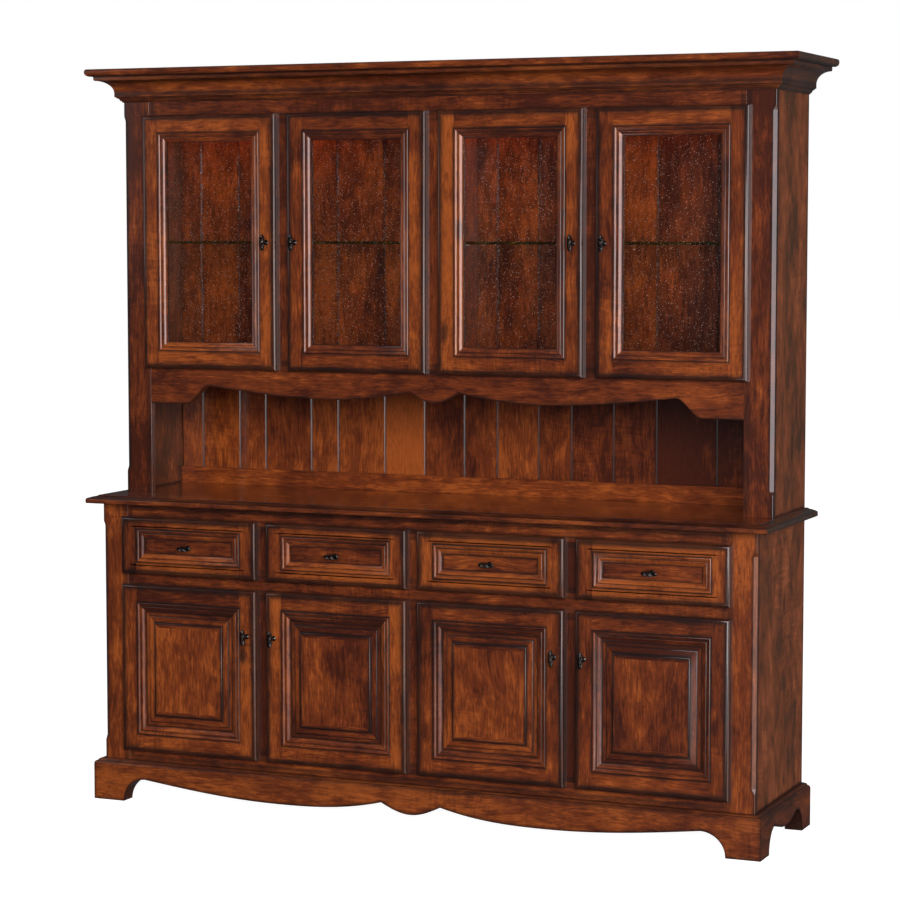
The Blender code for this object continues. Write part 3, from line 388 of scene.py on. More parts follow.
def wood(name, place_of, colours, blotch=1.0, coat=0.9):
    """A lacquered wood. place_of gives the place in the grain, the glaze, the tone and the painted side
    shade.
    """
    material, graph, shader = principled(name, {
        "Specular IOR Level": WOOD_SHINE, "Coat Weight": coat, "Coat Roughness": LACQUER_ROUGHNESS})
    place, glaze, tone, side_shade = place_of(graph)
    light, middle, dark = colours
    stain = graph.node("ShaderNodeGroup", node_tree=STAIN)
    for label, value in (
        ("Place", place), ("Glaze", glaze), ("Tone", tone), ("Side shade", side_shade), ("Blotch", blotch),
        ("Light", light), ("Middle", middle), ("Dark", dark), ("Side shade colour", SIDE_SHADE_COLOUR),
        ("Glaze colour", GLAZE_COLOUR),
    ):
        graph.give(stain.inputs[label], value)
    bump = graph.node("ShaderNodeBump", {
        "Strength": PORE_STRENGTH, "Distance": PORE_DEPTH, "Height": stain.outputs["Height"]})
    graph.give(shader.inputs["Base Color"], stain.outputs["Colour"])
    graph.give(shader.inputs["Roughness"], stain.outputs["Roughness"])
    graph.give(shader.inputs["Normal"], bump.outputs[0])
    return material


def carried_place(graph):
    """The place, glaze, tone and painted side shade that a piece carries at its face corners."""
    place = graph.node("ShaderNodeAttribute", attribute_name="grain").outputs["Vector"]
    shade = graph.node("ShaderNodeAttribute", attribute_name="shade").outputs["Vector"]
    parts = graph.node("ShaderNodeSeparateXYZ", {0: shade})
    return place, parts.outputs[0], parts.outputs[1], parts.outputs[2]


BROAD = 0.1
GLAZE_REACH = 0.010


def box_place(node, run, shift, most, tone):
    """Place, glaze, tone and painted side shade (none) for a plain board. Its glaze fades in from its ends
    and broad edges.
    """
    low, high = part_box(node)
    middle, half = (low + high) / 2, (high - low) / 2
    turns = {"z": (0, 0, 0), "x": (0, math.pi / 2, 0), "y": (math.pi / 2, 0, 0)}

    def place_of(graph):
        spot = graph.place()
        turned = graph.node("ShaderNodeMapping", {
            "Vector": spot, "Location": shift, "Rotation": turns[run]})
        away = graph.vector("ABSOLUTE", graph.vector("SUBTRACT", spot, tuple(middle)))
        near = graph.vector("SUBTRACT", away, tuple(half))
        parts = graph.node("ShaderNodeSeparateXYZ", {0: near}).outputs
        wide = [axis for axis in range(3) if half[axis] * 2 > BROAD]
        edge = parts[wide[0]]
        for axis in wide[1:]:
            edge = graph.math("MAXIMUM", edge, parts[axis])
        return turned.outputs[0], graph.fade(edge, -GLAZE_REACH, 0.0, 0.0, most), tone, 0.0

    return place_of


# Mesh tools

SHARP_BOARD = 32
SAME_PLACE = 1e-6
FARTHEST = 9
ALONG = {"x": (2, 1, 0), "y": (0, 2, 1), "z": (0, 1, 2)}
SHIFTS = {}


def grain_place(point, run, seed):
    """A point's place in its board. Boards of different seeds lie far apart in the wood."""
    if seed not in SHIFTS:
        draw = random.Random(f"board {seed}")
        SHIFTS[seed] = [draw.uniform(-FARTHEST, FARTHEST) for _ in range(3)]
    return [point[axis] + shift for axis, shift in zip(ALONG[run], SHIFTS[seed])]


class Piece:
    """Collects boards in one mesh, with each face corner's place in the grain and its shade."""

    def __init__(self):
        self.bm = bmesh.new()
        self.grain = self.bm.loops.layers.float_vector.new("grain")
        self.shade = self.bm.loops.layers.float_vector.new("shade")

    def loft(self, rings, glazes, run, seed=0, tone=0.0, closed=False, splits=()):
        """Skin a row of rings. run is the grain's axis, or a rule from a face's middle to its board."""
        rows, dark = [], {}
        for ring, glaze in zip(rings, glazes):
            row = [self.bm.verts.new(point) for point in ring]
            shares = glaze if isinstance(glaze, (list, tuple)) else [glaze] * len(row)
            dark.update(zip(row, shares))
            rows.append(row)
        pairs = list(zip(rows, rows[1:]))
        if closed:
            pairs.append((rows[-1], rows[0]))
        faces = []
        for one, two in pairs:
            for here in range(len(one)):
                faces.append(self.bm.faces.new((one[here - 1], one[here], two[here], two[here - 1])))
        if not closed:
            faces += [self.bm.faces.new(rows[0]), self.bm.faces.new(rows[-1])]
        for face in faces:
            for loop in face.loops:
                loop[self.shade] = (dark[loop.vert], tone, 0.0)
        for point, normal in splits:
            geom = set(faces)
            for face in faces:
                geom.update(face.verts, face.edges)
            cut = bmesh.ops.bisect_plane(
                self.bm, geom=list(geom), plane_co=point, plane_no=normal, dist=SAME_PLACE)
            faces = [item for item in cut["geom"] if isinstance(item, bmesh.types.BMFace)]
        for face in faces:
            board = (run, seed, tone) if isinstance(run, str) else run(face.calc_center_median())
            for loop in face.loops:
                loop[self.grain] = grain_place(loop.vert.co, board[0], board[1])
                loop[self.shade][1] = board[2]
                loop[self.shade][2] = board[3] if len(board) > 3 else 0.0

    def finish(self, name, material, body, slot, *nodes, sharp=SHARP_BOARD):
        return add_piece(name, mesh_of(name, self.bm, material, sharp), body, slot, *nodes)


def mesh_of(name, bm, material, sharp):
    """The mesh of what bm has collected, smooth but for edges that turn by more than sharp degrees."""
    bmesh.ops.recalc_face_normals(bm, faces=bm.faces)
    mesh = bpy.data.meshes.new(name)
    bm.to_mesh(mesh)
    bm.free()
    mesh.materials.append(material)
    mesh.shade_smooth()
    mesh.set_sharp_from_angle(angle=math.radians(sharp))
    return mesh


def put(name, data):
    """A new object in the scene."""
    thing = bpy.data.objects.new(name, data)
    bpy.context.scene.collection.objects.link(thing)
    return thing


def add_piece(name, mesh, body, slot, *nodes):
    thing = put(name, mesh)
    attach(thing, body)
    if nodes:
        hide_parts(*nodes)
    return thing


def front_ring(low, high, inset, inset_z, depth):
    """A rectangle on an upright front, drawn in from its edges and set back from its face."""
    return [
        (low.x + inset, low.y + depth, low.z + inset_z), (high.x - inset, low.y + depth, low.z + inset_z),
        (high.x - inset, low.y + depth, high.z - inset_z), (low.x + inset, low.y + depth, high.z - inset_z),
    ]


def arc(centre, across, up, start, end, steps):
    points = []
    for step in range(steps + 1):
        angle = math.radians(start + (end - start) * step / steps)
        points.append((centre[0] + across * math.cos(angle), centre[1] + up * math.sin(angle)))
    return points


def eased(start, end, steps):
    """An S-shaped curve that leaves and arrives level."""
    points = []
    for step in range(steps + 1):
        share = step / steps
        lift = (1 - math.cos(math.pi * share)) / 2
        points.append((start[0] + (end[0] - start[0]) * share, start[1] + (end[1] - start[1]) * lift))
    return points


def settling(start, end, steps):
    """A curve that leaves on a slope and arrives level."""
    points = []
    for step in range(steps + 1):
        share = step / steps
        fall = math.sin(math.pi / 2 * share)
        points.append((start[0] + (end[0] - start[0]) * share, start[1] + (end[1] - start[1]) * fall))
    return points


def wave(peak, low, cusp, drop, sweep, steps=18):
    """The right half of a scalloped edge, from its outer peak to the middle of its centre drop."""
    points = settling(peak, low, steps)
    for step in range(1, steps + 1):
        share = step / steps
        points.append((low[0] + (cusp[0] - low[0]) * share, low[1] + (cusp[1] - low[1]) * share ** sweep))
    return points + settling(cusp, (0, drop), steps // 2)[1:]


def mirrored(right_half):
    """A line from left to right whose right half, given from its outer end to the middle, is known."""
    left = [(-x, z) for x, z in right_half]
    return left + [(x, z) for x, z in reversed(right_half[:-1])]


# Fronts of the doors and drawers

BACK_GLAZE, SIDE_GLAZE, ROUND_GLAZE, GROOVE_GLAZE = 0.6, 0.85, 0.90, 0.9
EDGE_STEPS = 10
EDGE_LEAD = 0.001
FLAT_GLAZE = ((0.0006, 0.97), (0.0025, 0.84), (0.0055, 0.52), (0.011, 0.20), (0.019, 0.06))


def outer_edge():
    """Rings from the back of a front, round its eased edge, on to its flat."""
    rings = [(0, 0, FRONT_THICKNESS, BACK_GLAZE), (0, 0, EDGE_RADIUS + EDGE_LEAD, SIDE_GLAZE)]
    for inset, depth in arc((EDGE_RADIUS, EDGE_RADIUS), EDGE_RADIUS, EDGE_RADIUS, 180, 270, EDGE_STEPS):
        rings.append((inset, inset, depth, ROUND_GLAZE))
    for further, glaze in FLAT_GLAZE:
        rings.append((EDGE_RADIUS + further, EDGE_RADIUS + further, 0, glaze))
    return rings


INNER_GLAZE = ((0.009, 0.05), (0.004, 0.28), (0.0015, 0.75))
MIDDLE_GLAZE = ((0.0015, 0.55), (0.004, 0.22), (0.010, 0.05))


def inner_edge(stile, rail):
    """Rings over the inner side of the flat and down its moulding."""
    rings = []
    for before, glaze in INNER_GLAZE:
        rings.append((stile - before, rail - before, 0, glaze))
    for across, down, glaze in STICKING:
        rings.append((stile + across / 1000, rail + across / 1000, down / 1000, glaze))
    return rings


# How much darker than its board a moulding is, at the left, the right, the foot and the head,
# as painted shade: the head moulding looks down, and the right one looks away from the light
MOULDING_SHADE_TONES = (0.0, -0.3, -0.2, -0.8)


def joinery(low, high, stile, rail, seed, tones):
    """The rule that gives each face of a framed front its board: two stiles with two rails between."""
    middle = (low + high) / 2

    def board(point):
        side_gap = (high.x - low.x) / 2 - abs(point.x - middle.x)
        end_gap = (high.z - low.z) / 2 - abs(point.z - middle.z)
        moulded = min(side_gap - stile, end_gap - rail) > 0
        if side_gap < stile or side_gap - stile < end_gap - rail:
            which, run = 0 if point.x < middle.x else 1, "z"
        else:
            which, run = 2 if point.z < middle.z else 3, "x"
        # mouldings take their painted shade here
        return (run, seed * 10 + which, tones[which] + (MOULDING_SHADE_TONES[which] if moulded else 0))

    return board


# How much a front's glaze is rubbed off or left at each corner, and which glaze is rubbed at all
FOOT_RUB, HEAD_RUB = (0.6, 1.2), (0.8, 1.7)
RUBBED_FROM, RUBBED_TO = 0.03, 0.8


def framed_front(name, body, node, stile, rail, seed, slot_depth=None):
    """A door's frame, open in the middle, or a drawer front whose middle is filled."""
    low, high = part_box(node)
    rows = outer_edge() + inner_edge(stile, rail)
    inner, inner_z = stile + MOULDING_WIDTH, rail + MOULDING_WIDTH
    if slot_depth is not None:
        near, far = MOULDING_DEPTH, MOULDING_DEPTH + slot_depth + 2 * FIT
        for back, at in ((0, near), (GROOVE, near), (GROOVE, far), (0, far), (0, FRONT_THICKNESS)):
            rows.append((inner - back, inner_z - back, at, GROOVE_GLAZE))
    else:
        floor = STICKING[-1][1] / 1000
        for further, glaze in MIDDLE_GLAZE:
            rows.append((inner + further, inner_z + further, floor, glaze))
    rings = [front_ring(low, high, a, b, c) for a, b, c, _ in rows]
    draw = random.Random(f"rubbed corners {seed}")
    corners = [draw.uniform(*limits) for limits in (FOOT_RUB, FOOT_RUB, HEAD_RUB, HEAD_RUB)]
    glazes = [
        [min(row[3] * share, 1.0) if RUBBED_FROM < row[3] < RUBBED_TO else row[3] for share in corners]
        for row in rows
    ]
    splits = [((x, 0, 0), (1, 0, 0)) for x in (low.x + stile, high.x - stile)]
    rule = joinery(low, high, stile, rail, seed, FRONT_TONES[body])
    if slot_depth is None:
        framed = rule
        middle = (low + high) / 2

        def rule(point):
            inside = min(high.x - low.x - 2 * inner - 2 * abs(point.x - middle.x),
                         high.z - low.z - 2 * inner_z - 2 * abs(point.z - middle.z)) >= -SAME_PLACE
            return ("x", seed * 10 + 7, FRONT_TONES[body][4]) if inside else framed(point)

    piece = Piece()
    piece.loft(rings, glazes, rule, closed=slot_depth is not None, splits=splits)
    return piece.finish(name, BOARDS, body, "stained_wood", node)


# How much darker a panel's rim and bevel are at its foot and at its head, as painted shade
PANEL_END_SHADE_TONES = (-0.4, -0.8)


def raised_panel(name, body, node, seed):
    """A panel with a stepped rim and a soft bevel round its raised field, in the groove of its frame."""
    low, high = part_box(node)
    tongue = high.y - low.y
    edge = GROOVE - FIT
    rim = PANEL_RELIEF[0][1] / 1000
    rows = [(0, tongue, BACK_GLAZE), (0, rim, GROOVE_GLAZE)]
    rows += [(edge + across / 1000, down / 1000, glaze) for across, down, glaze in PANEL_RELIEF]
    rings = [front_ring(low, high, inset, inset, at) for inset, at, _ in rows]
    middle, tone = (low + high) / 2, FRONT_TONES[body][4]
    field = edge + PANEL_RELIEF[-1][0] / 1000

    def rule(point):
        side_gap = (high.x - low.x) / 2 - abs(point.x - middle.x)
        end_gap = (high.z - low.z) / 2 - abs(point.z - middle.z)
        if end_gap < field and end_gap < side_gap:
            return ("x", seed * 10 + 9, tone + PANEL_END_SHADE_TONES[point.z > middle.z])
        return ("z", seed * 10 + 8, tone)

    piece = Piece()
    piece.loft(rings, [row[2] for row in rows], rule)
    return piece.finish(name, BOARDS, body, "stained_wood", node)


END_COAT = 0.3
BOARDS = wood("stained_maple", carried_place, FRONT_STAIN)
END_BOARDS = wood("stained_maple_ends", carried_place, FRONT_STAIN, coat=END_COAT)
GLASS_THICKNESS = 0.004
TONGUE_THICKNESS = 0.006
LOWER_SEED, PANEL_SEED, DRAWER_SEED = 10, 20, 30


def make_fronts():
    for number in range(1, COLUMNS + 1):
        upper, lower, drawer = f"upper_door_{number}", f"lower_door_{number}", f"drawer_{number}"
        framed_front(f"{upper}_joinery", upper, f"{upper}_frame", STILE, STILE, number, GLASS_THICKNESS)
        framed_front(f"{lower}_joinery", lower, f"{lower}_frame", STILE, STILE,
                     number + LOWER_SEED, TONGUE_THICKNESS)
        raised_panel(f"{lower}_field", lower, f"{lower}_panel", number + PANEL_SEED)
        framed_front(f"{drawer}_face", drawer, f"{drawer}_front", DRAWER_STILE, DRAWER_RAIL,
                     number + DRAWER_SEED)


# Face frames

BOARD_GAP = 0.0002
HAIRLINE = 0.0004
LAP_SHADOW = 0.007
ARRIS_SHADOW = 0.009
ARRIS_LINE = 0.0008
CHAMFER_ROUND_SHARE = 0.12
TONGUE_STEPS = 8
# a corner stile is darker round the fronts' laps, partly glaze and partly painted shade
STILE_GLAZE_AND_SHADE = (0.30, 0.40, 0.50, 0.08, 0.12, 0.75, 0.90, 0.45, 0.45, 0.90, 0.45, 0.30)
BUTT_GLAZE = 0.4
# glaze and painted shade beside the fronts that lap over a board
LAP_GLAZE_AND_SHADE = ((0.0, 0.70), (0.0025, 0.38), (0.0065, 0.10))

# The niche rail's edge, as shares of its half length and of its wave's height
RAIL_COVE_SHARE = 0.871
RAIL_PEAK_SHARE = 0.786
RAIL_LOW_SHARES = (0.356, 0.452)
RAIL_CUSP_SHARES = (0.081, 0.962)
RAIL_DROP_SHARE = 0.415
RAIL_SWEEP = 1.8
RAIL_COVE_STEPS = 14
# RAIL_HEAD darkens the rail just under the upper doors, partly glaze and partly painted shade
RAIL_HEAD = ((0.0, 0.35), (OVERLAY, 0.50), (OVERLAY + 0.006, 0.05))
RAIL_FOOT = (
    # inwards, upwards and glaze, from the rail's lower edge
    (0.0, 0.012, 0.06), (0.0, 0.005, 0.40), (0.0, 0.0018, 0.85), (0.0005, 0.0006, 0.95),
    (0.0018, 0.0, 0.80),
)
RAIL_BACK_GLAZE = (0.60, 0.40)

# The first number of each group's boards. Boards of different numbers lie far apart in the wood
HUTCH_FRAME_SEED = 500
BASE_FRAME_SEED = 520
BASE_MID_SEED = 530
PLINTH_SEED = 540
TOP_SEED = 550
CROWN_SEED = 560
CAP_SEED = 565
BACK_BOARD_SEED = 570


def chamfered_stile(piece, side, inner, outer, low, high, stops, seed, tone):
    """A corner stile whose outer arris has a stopped chamfer with a curved tongue at each end."""
    low_stop, high_stop = stops
    stations = [(low.z, ARRIS)]
    stations += eased((low_stop, ARRIS), (low_stop + TONGUE, CHAMFER), TONGUE_STEPS)
    stations += eased((high_stop - TONGUE, CHAMFER), (high_stop, ARRIS), TONGUE_STEPS)
    stations.append((high.z, ARRIS))
    face, back = low.y, high.y
    rings = []
    for z, size in stations:
        edge, soft = outer - side * size, size * CHAMFER_ROUND_SHARE
        rings.append([
            (inner, face + INNER_ARRIS, z), (inner + side * INNER_ARRIS, face, z),
            (inner + side * OVERLAY, face, z), (inner + side * (OVERLAY + LAP_SHADOW), face, z),
            (edge - side * ARRIS_SHADOW, face, z), (edge - side * ARRIS_LINE, face, z), (edge, face, z),
            (edge + side * soft, face + soft, z), (outer - side * soft, face + size - soft, z),
            (outer, face + size, z), (outer, back, z), (inner, back, z),
        ])
    piece.loft(rings, [STILE_GLAZE_AND_SHADE] * len(rings), "z", seed, tone)


def corner_stiles(piece, inner, low, high, stops, seed, tones):
    for number, (side, tone) in enumerate(zip((-1, 1), tones), 1):
        chamfered_stile(piece, side, side * inner, side * high.x, low, high, stops, seed + number, tone)


def plain_board(piece, low, high, run, seed, tone):
    """A board of the face frame. Along the fronts that lap over its edges it darkens, partly as glaze and
    partly as painted shade.
    """
    rows = [(0.0, high[1] - low[1], BUTT_GLAZE), (0.0, HAIRLINE, BUTT_GLAZE), (HAIRLINE, 0.0, BUTT_GLAZE)]
    rows += [(OVERLAY + further, 0.0, glaze) for further, glaze in LAP_GLAZE_AND_SHADE]
    low, high = Vector(low), Vector(high)
    rings = [front_ring(low, high, inset, inset, depth) for inset, depth, _ in rows]
    piece.loft(rings, [row[2] for row in rows], run, seed, tone)


def middle_stiles(piece, spans, low, high, foot, head, seed, tones):
    """The upright boards between the openings of one row."""
    for number, tone in enumerate(tones):
        left, right = spans[number][1], spans[number + 1][0]
        plain_board(piece, (left, low.y, foot + BOARD_GAP), (right, high.y, head - BOARD_GAP),
                    "z", seed + number, tone)


def openings(row):
    """Left and right edges of the openings behind one row of fronts."""
    spans = []
    for number in range(1, COLUMNS + 1):
        low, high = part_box(row.format(number))
        spans.append((low.x + OVERLAY, high.x - OVERLAY))
    return spans


def make_hutch_frame():
    low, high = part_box("hutch_face_frame")
    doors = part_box("upper_door_1_frame")
    spans = openings("upper_door_{}_frame")
    crown_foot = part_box("crown_moulding")[0].z
    stiles, mids, (head_tone, rail_tone) = FRAME_TONES_WITH_SHADE["hutch"]
    inner = abs(spans[0][0])
    edge = inner - BOARD_GAP
    foot, head = doors[0].z + OVERLAY, doors[1].z - OVERLAY
    stops = (low.z + HUTCH_STOP, crown_foot - HUTCH_HEAD_STOP)
    seed = HUTCH_FRAME_SEED
    piece = Piece()
    corner_stiles(piece, inner, low, high, stops, seed, stiles)
    plain_board(piece, (-edge, low.y, head), (edge, high.y, high.z), "x", seed + 3, head_tone)
    middle_stiles(piece, spans, low, high, foot, head, seed + 4, mids)
    scalloped_rail(piece, edge, low, high, foot, seed + 10, rail_tone)
    piece.finish("hutch_frame_boards", BOARDS, "root", "stained_wood", "hutch_face_frame")


def scalloped_rail(piece, half, low, high, head, seed, tone):
    """The rail over the niche, with its long wave and centre drop."""
    face, back = low.y, high.y
    flat = low.z + RAIL_FLAT
    peak = (half * RAIL_PEAK_SHARE, flat + RAIL_WAVE)
    dip, cusp = ((half * x, flat + RAIL_WAVE * z) for x, z in (RAIL_LOW_SHARES, RAIL_CUSP_SHARES))
    right = [(half, flat)] + eased((half * RAIL_COVE_SHARE, flat), peak, RAIL_COVE_STEPS)
    right += wave(peak, dip, cusp, flat + RAIL_WAVE * RAIL_DROP_SHARE, RAIL_SWEEP)[1:]
    rings = []
    for x, z in mirrored(right):
        ring = [(x, face, head - down) for down, _ in RAIL_HEAD]
        ring += [(x, face + inwards, z + up) for inwards, up, _ in RAIL_FOOT]
        rings.append(ring + [(x, back, z), (x, back, head)])
    glaze = [row[-1] for row in RAIL_HEAD + RAIL_FOOT] + list(RAIL_BACK_GLAZE)
    piece.loft(rings, [glaze] * len(rings), "x", seed, tone)


def make_base_frame():
    low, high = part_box("base_face_frame")
    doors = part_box("lower_door_1_frame")
    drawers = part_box("drawer_1_front")
    spans = openings("lower_door_{}_frame")
    stiles, mids, rails = FRAME_TONES_WITH_SHADE["base"]
    inner = abs(spans[0][0])
    edge = inner - BOARD_GAP
    piece = Piece()
    stops = (low.z + BASE_STOP, high.z - BASE_STOP)
    corner_stiles(piece, inner, low, high, stops, BASE_FRAME_SEED, stiles)
    levels = (
        (low.z, doors[0].z + OVERLAY),
        (doors[1].z - OVERLAY, drawers[0].z + OVERLAY),
        (drawers[1].z - OVERLAY, high.z),
    )
    for number, ((foot, head), tone) in enumerate(zip(levels, rails), 3):
        plain_board(piece, (-edge, low.y, foot), (edge, high.y, head), "x", BASE_FRAME_SEED + number, tone)
    for number, (under, over) in enumerate(zip(levels, levels[1:])):
        middle_stiles(piece, spans, low, high, under[1], over[0], BASE_MID_SEED + number * 5, mids)
    piece.finish("base_frame_boards", BOARDS, "root", "stained_wood", "base_face_frame")


# Plinth

PLINTH_EDGE_WIDTH = 0.021
PLINTH_EDGE_FALL = 0.015
PLINTH_ARRIS = 0.0015
PLINTH_FADE = (0.0, 0.004, 0.010)
PLINTH_GLAZE = [0.90, 0.90, 0.60, 0.16] + [glaze for _, _, glaze in PLINTH_EDGE] + [0.7, 0.8]
# Painted shade on the plinth's side boards: a darker tone, greyed towards olive
PLINTH_SIDE_SHADE_TONE = -0.2
PLINTH_SIDE_SHADE = 0.25
END_STATIONS = (0.0, 0.004, 0.011)
END_GLAZE = (0.95, 0.60, 0.15)
MITRE_STEP = 0.0002
CORNER_STEP = 0.0001

# The skirts' outlines, as shares of the front board's half length and of the plinth's height
SKIRT_PEAK_SHARE = 0.564
SKIRT_LOW_SHARES = (0.404, 0.275)
SKIRT_CUSP_SHARES = (0.089, 0.547)
SKIRT_DROP_SHARE = 0.312
SKIRT_SWEEP = 2.6
COVE_STEPS = 16
SIDE_PEAK_SHARE = 0.590
SIDE_MIDDLE_SHARE = 0.402
SIDE_COVE_STEPS = 14
SIDE_SWEEP_STEPS = 16


def make_plinth():
    low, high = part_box("plinth_front")
    make_plinth_front(low.y, high.z, high.x - PLINTH_REACH)
    make_plinth_sides(low.y, high.z, high.x - PLINTH_REACH)


def make_plinth_front(face, height, half):
    whole = half + PLINTH_REACH
    right = [(whole - inwards, 0.0) for inwards in END_STATIONS + (FOOT_LENGTH - CORNER_STEP,)]
    peak = (whole - FOOT_LENGTH - COVE_RUN, height * SKIRT_PEAK_SHARE)
    right += arc((peak[0], 0), COVE_RUN, peak[1], 0, 90, COVE_STEPS)
    dip, cusp = ((whole * x, height * z) for x, z in (SKIRT_LOW_SHARES, SKIRT_CUSP_SHARES))
    right += wave(peak, dip, cusp, height * SKIRT_DROP_SHARE, SKIRT_SWEEP)[1:]
    line = mirrored(right)
    rings, glazes = [], []
    for place, (x, z) in enumerate(line):
        from_end = min(place, len(line) - 1 - place)
        rings.append(plinth_section(x, z, face, height, from_end, half))
        least = END_GLAZE[from_end] if from_end < len(END_GLAZE) else 0.0
        glazes.append([max(least, glaze) for glaze in PLINTH_GLAZE])
    piece = Piece()
    piece.loft(rings, glazes, "x", PLINTH_SEED, PLINTH_TONE)
    piece.finish("plinth_front_board", BOARDS, "root", "stained_wood", "plinth_front")


def make_plinth_sides(face, height, half):
    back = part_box("plinth_left")[1].y
    middle = (face + back) / 2
    reach = back - middle
    foot = reach - SIDE_FOOT_LENGTH
    peak = (foot - SIDE_COVE_RUN, height * SIDE_PEAK_SHARE)
    right = [(reach, 0.0), (foot + CORNER_STEP, 0.0)]
    right += arc((peak[0], 0), SIDE_COVE_RUN, peak[1], 0, 90, SIDE_COVE_STEPS)
    right += settling(peak, (0, height * SIDE_MIDDLE_SHARE), SIDE_SWEEP_STEPS)[1:]
    for side, word in ((-1, "left"), (1, "right")):
        board = ("y", PLINTH_SEED + 1 + side, PLINTH_SIDE_SHADE_TONE, PLINTH_SIDE_SHADE)
        rings = []
        for place, (y, z) in enumerate(mirrored(right)):
            rings.append(side_section(middle + y, z, side, half, face, height, place == 0))
        piece = Piece()
        piece.loft(rings, [PLINTH_GLAZE] * len(rings), lambda point: board)
        piece.finish(f"plinth_{word}_board", END_BOARDS, "root", "side_wood", f"plinth_{word}")


def plinth_profile(z, height):
    """Points of the plinth's section: how far each stands out, and its height."""
    rise = min(z + PLINTH_ARRIS, height - PLINTH_EDGE_FALL)
    points = [(PLINTH_REACH - PLINTH_ARRIS, z)] + [(PLINTH_REACH, rise + up) for up in PLINTH_FADE]
    for inward, down, _ in PLINTH_EDGE:
        points.append((PLINTH_REACH - inward * PLINTH_EDGE_WIDTH, height - down * PLINTH_EDGE_FALL))
    inner = PLINTH_REACH - PLINTH_THICKNESS
    return points + [(inner, height), (inner, z)]


def plinth_section(x, z, face, height, from_end, half):
    """A section of the front board. Near an end it keeps inside the mitre."""
    points = []
    for out, up in plinth_profile(z, height):
        mitre = half + out - MITRE_STEP * from_end
        across = math.copysign(min(abs(x), mitre) if from_end else mitre, x)
        points.append((across, face + PLINTH_REACH - out, up))
    return points


def side_section(y, z, side, half, face, height, mitred):
    """A section of a side board. The first one lies along the mitre."""
    points = []
    for out, up in plinth_profile(z, height):
        along = face + PLINTH_REACH - out + 2 * FIT if mitred else y
        points.append((side * (half + out), along, up))
    return points


# Top, crown and cap

# Painted shade on the returns, the ends of the top, crown and cap: a darker tone, greyed towards olive
RETURN_SHADE_TONE = -0.35
RETURN_SIDE_SHADE = 0.8
TOP_TONE = -0.15
TOP_EDGE_WIDTH = 0.027
TOP_FADE = ((0.008, 0.15), (0.030, 0.0))
FLAT_STEP = 0.0001
CROWN_TONE = 0.05
CROWN_REACH = 0.064
CROWN_HEIGHT = 0.0715
COVE_START_SHARES = (0.31, 0.37)
COVE_END_SHARES = (0.95, 0.84)
COVE_GLAZE = (0.75, 0.45, 0.25)
LATER_COVE_GLAZE = 0.12
CROWN_BACK_GLAZE = 0.8
CAP_TONE = -0.05
CAP_NOSE_WIDTH = 0.020
CAP_FADE = ((0.02, 0.2),)
SHARP_MOULDING = 40


def plan_ring(half, out, face, back, z):
    """A rectangle seen from above, grown outwards at its front and ends."""
    left, right, front = -half - out, half + out, face - out
    return [(left, front, z), (right, front, z), (right, back, z), (left, back, z)]


def run_rule(half, face, seed, tone):
    """Grain along the front and along each mitred end of a moulding, whose ends take painted side shade."""
    def board(point):
        out_side, out_front = abs(point.x) - half, face - point.y
        if out_side > out_front:
            return ("y", seed + (1 if point.x > 0 else 2), tone + RETURN_SHADE_TONE, RETURN_SIDE_SHADE)
        return ("x", seed, tone)

    return board


def moulded_board(name, node, half, face, outline, width, fade, rule, sharp):
    """A flat board with a moulded edge round its front and ends."""
    low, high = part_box(node)
    reach, thick = high.x - half, high.z - low.z
    rows = [(reach - inward * width, low.z + up * thick, glaze) for inward, up, glaze in outline]
    rows += [(reach - width - further, high.z, glaze) for further, glaze in fade]
    rings = [plan_ring(half, out, face, high.y, z) for out, z, _ in rows]
    piece = Piece()
    piece.loft(rings, [row[2] for row in rows], rule)
    piece.finish(name, BOARDS, "root", "stained_wood", node, sharp=sharp)


def make_top():
    low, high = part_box("base_face_frame")
    edge = run_rule(high.x, low.y, TOP_SEED, TOP_TONE)
    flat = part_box("buffet_top")[1].z - FLAT_STEP

    def rule(point):
        return edge(point) if point.z < flat else ("x", TOP_SEED, TOP_TONE)

    moulded_board("top_board", "buffet_top", high.x, low.y, TOP_EDGE, TOP_EDGE_WIDTH, TOP_FADE,
                  rule, SHARP_BOARD)


def crown_outline():
    """Outwards, upwards and glaze: the steps at the foot, the cove, and the head under the cap."""
    points = [(FIT, 0.0, CROWN_BACK_GLAZE)]
    points += [(out * CROWN_REACH, up * CROWN_HEIGHT, glaze) for out, up, glaze in CROWN]
    cove_ends = (COVE_START_SHARES, COVE_END_SHARES)
    start, end = ((out * CROWN_REACH, up * CROWN_HEIGHT) for out, up in cove_ends)
    cove = arc((end[0], start[1]), end[0] - start[0], end[1] - start[1], 180, 90, COVE_STEPS)
    glazes = list(COVE_GLAZE) + [LATER_COVE_GLAZE] * (len(cove) - len(COVE_GLAZE))
    points += [(out, up, glaze) for (out, up), glaze in zip(cove, glazes)]
    points += [(out * CROWN_REACH, up * (CROWN_HEIGHT - FIT), glaze) for out, up, glaze in CROWN_HEAD]
    return points + [(FIT, CROWN_HEIGHT - FIT, CROWN_BACK_GLAZE)]


def make_crown():
    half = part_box("hutch_face_frame")[1].x
    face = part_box("hutch_face_frame")[0].y
    low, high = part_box("crown_moulding")
    outline = crown_outline()
    rings = []
    for side, depth in ((-1, "back"), (-1, "front"), (1, "front"), (1, "back")):
        ring = []
        for out, up, _ in outline:
            ring.append((side * (half + out), face - out if depth == "front" else high.y, low.z + up))
        rings.append(ring)
    piece = Piece()
    glaze = [row[2] for row in outline]
    piece.loft(rings, [glaze] * len(rings), run_rule(half, face, CROWN_SEED, CROWN_TONE))
    piece.finish("crown_run", BOARDS, "root", "stained_wood", "crown_moulding", sharp=SHARP_MOULDING)
    make_cap(half, face)


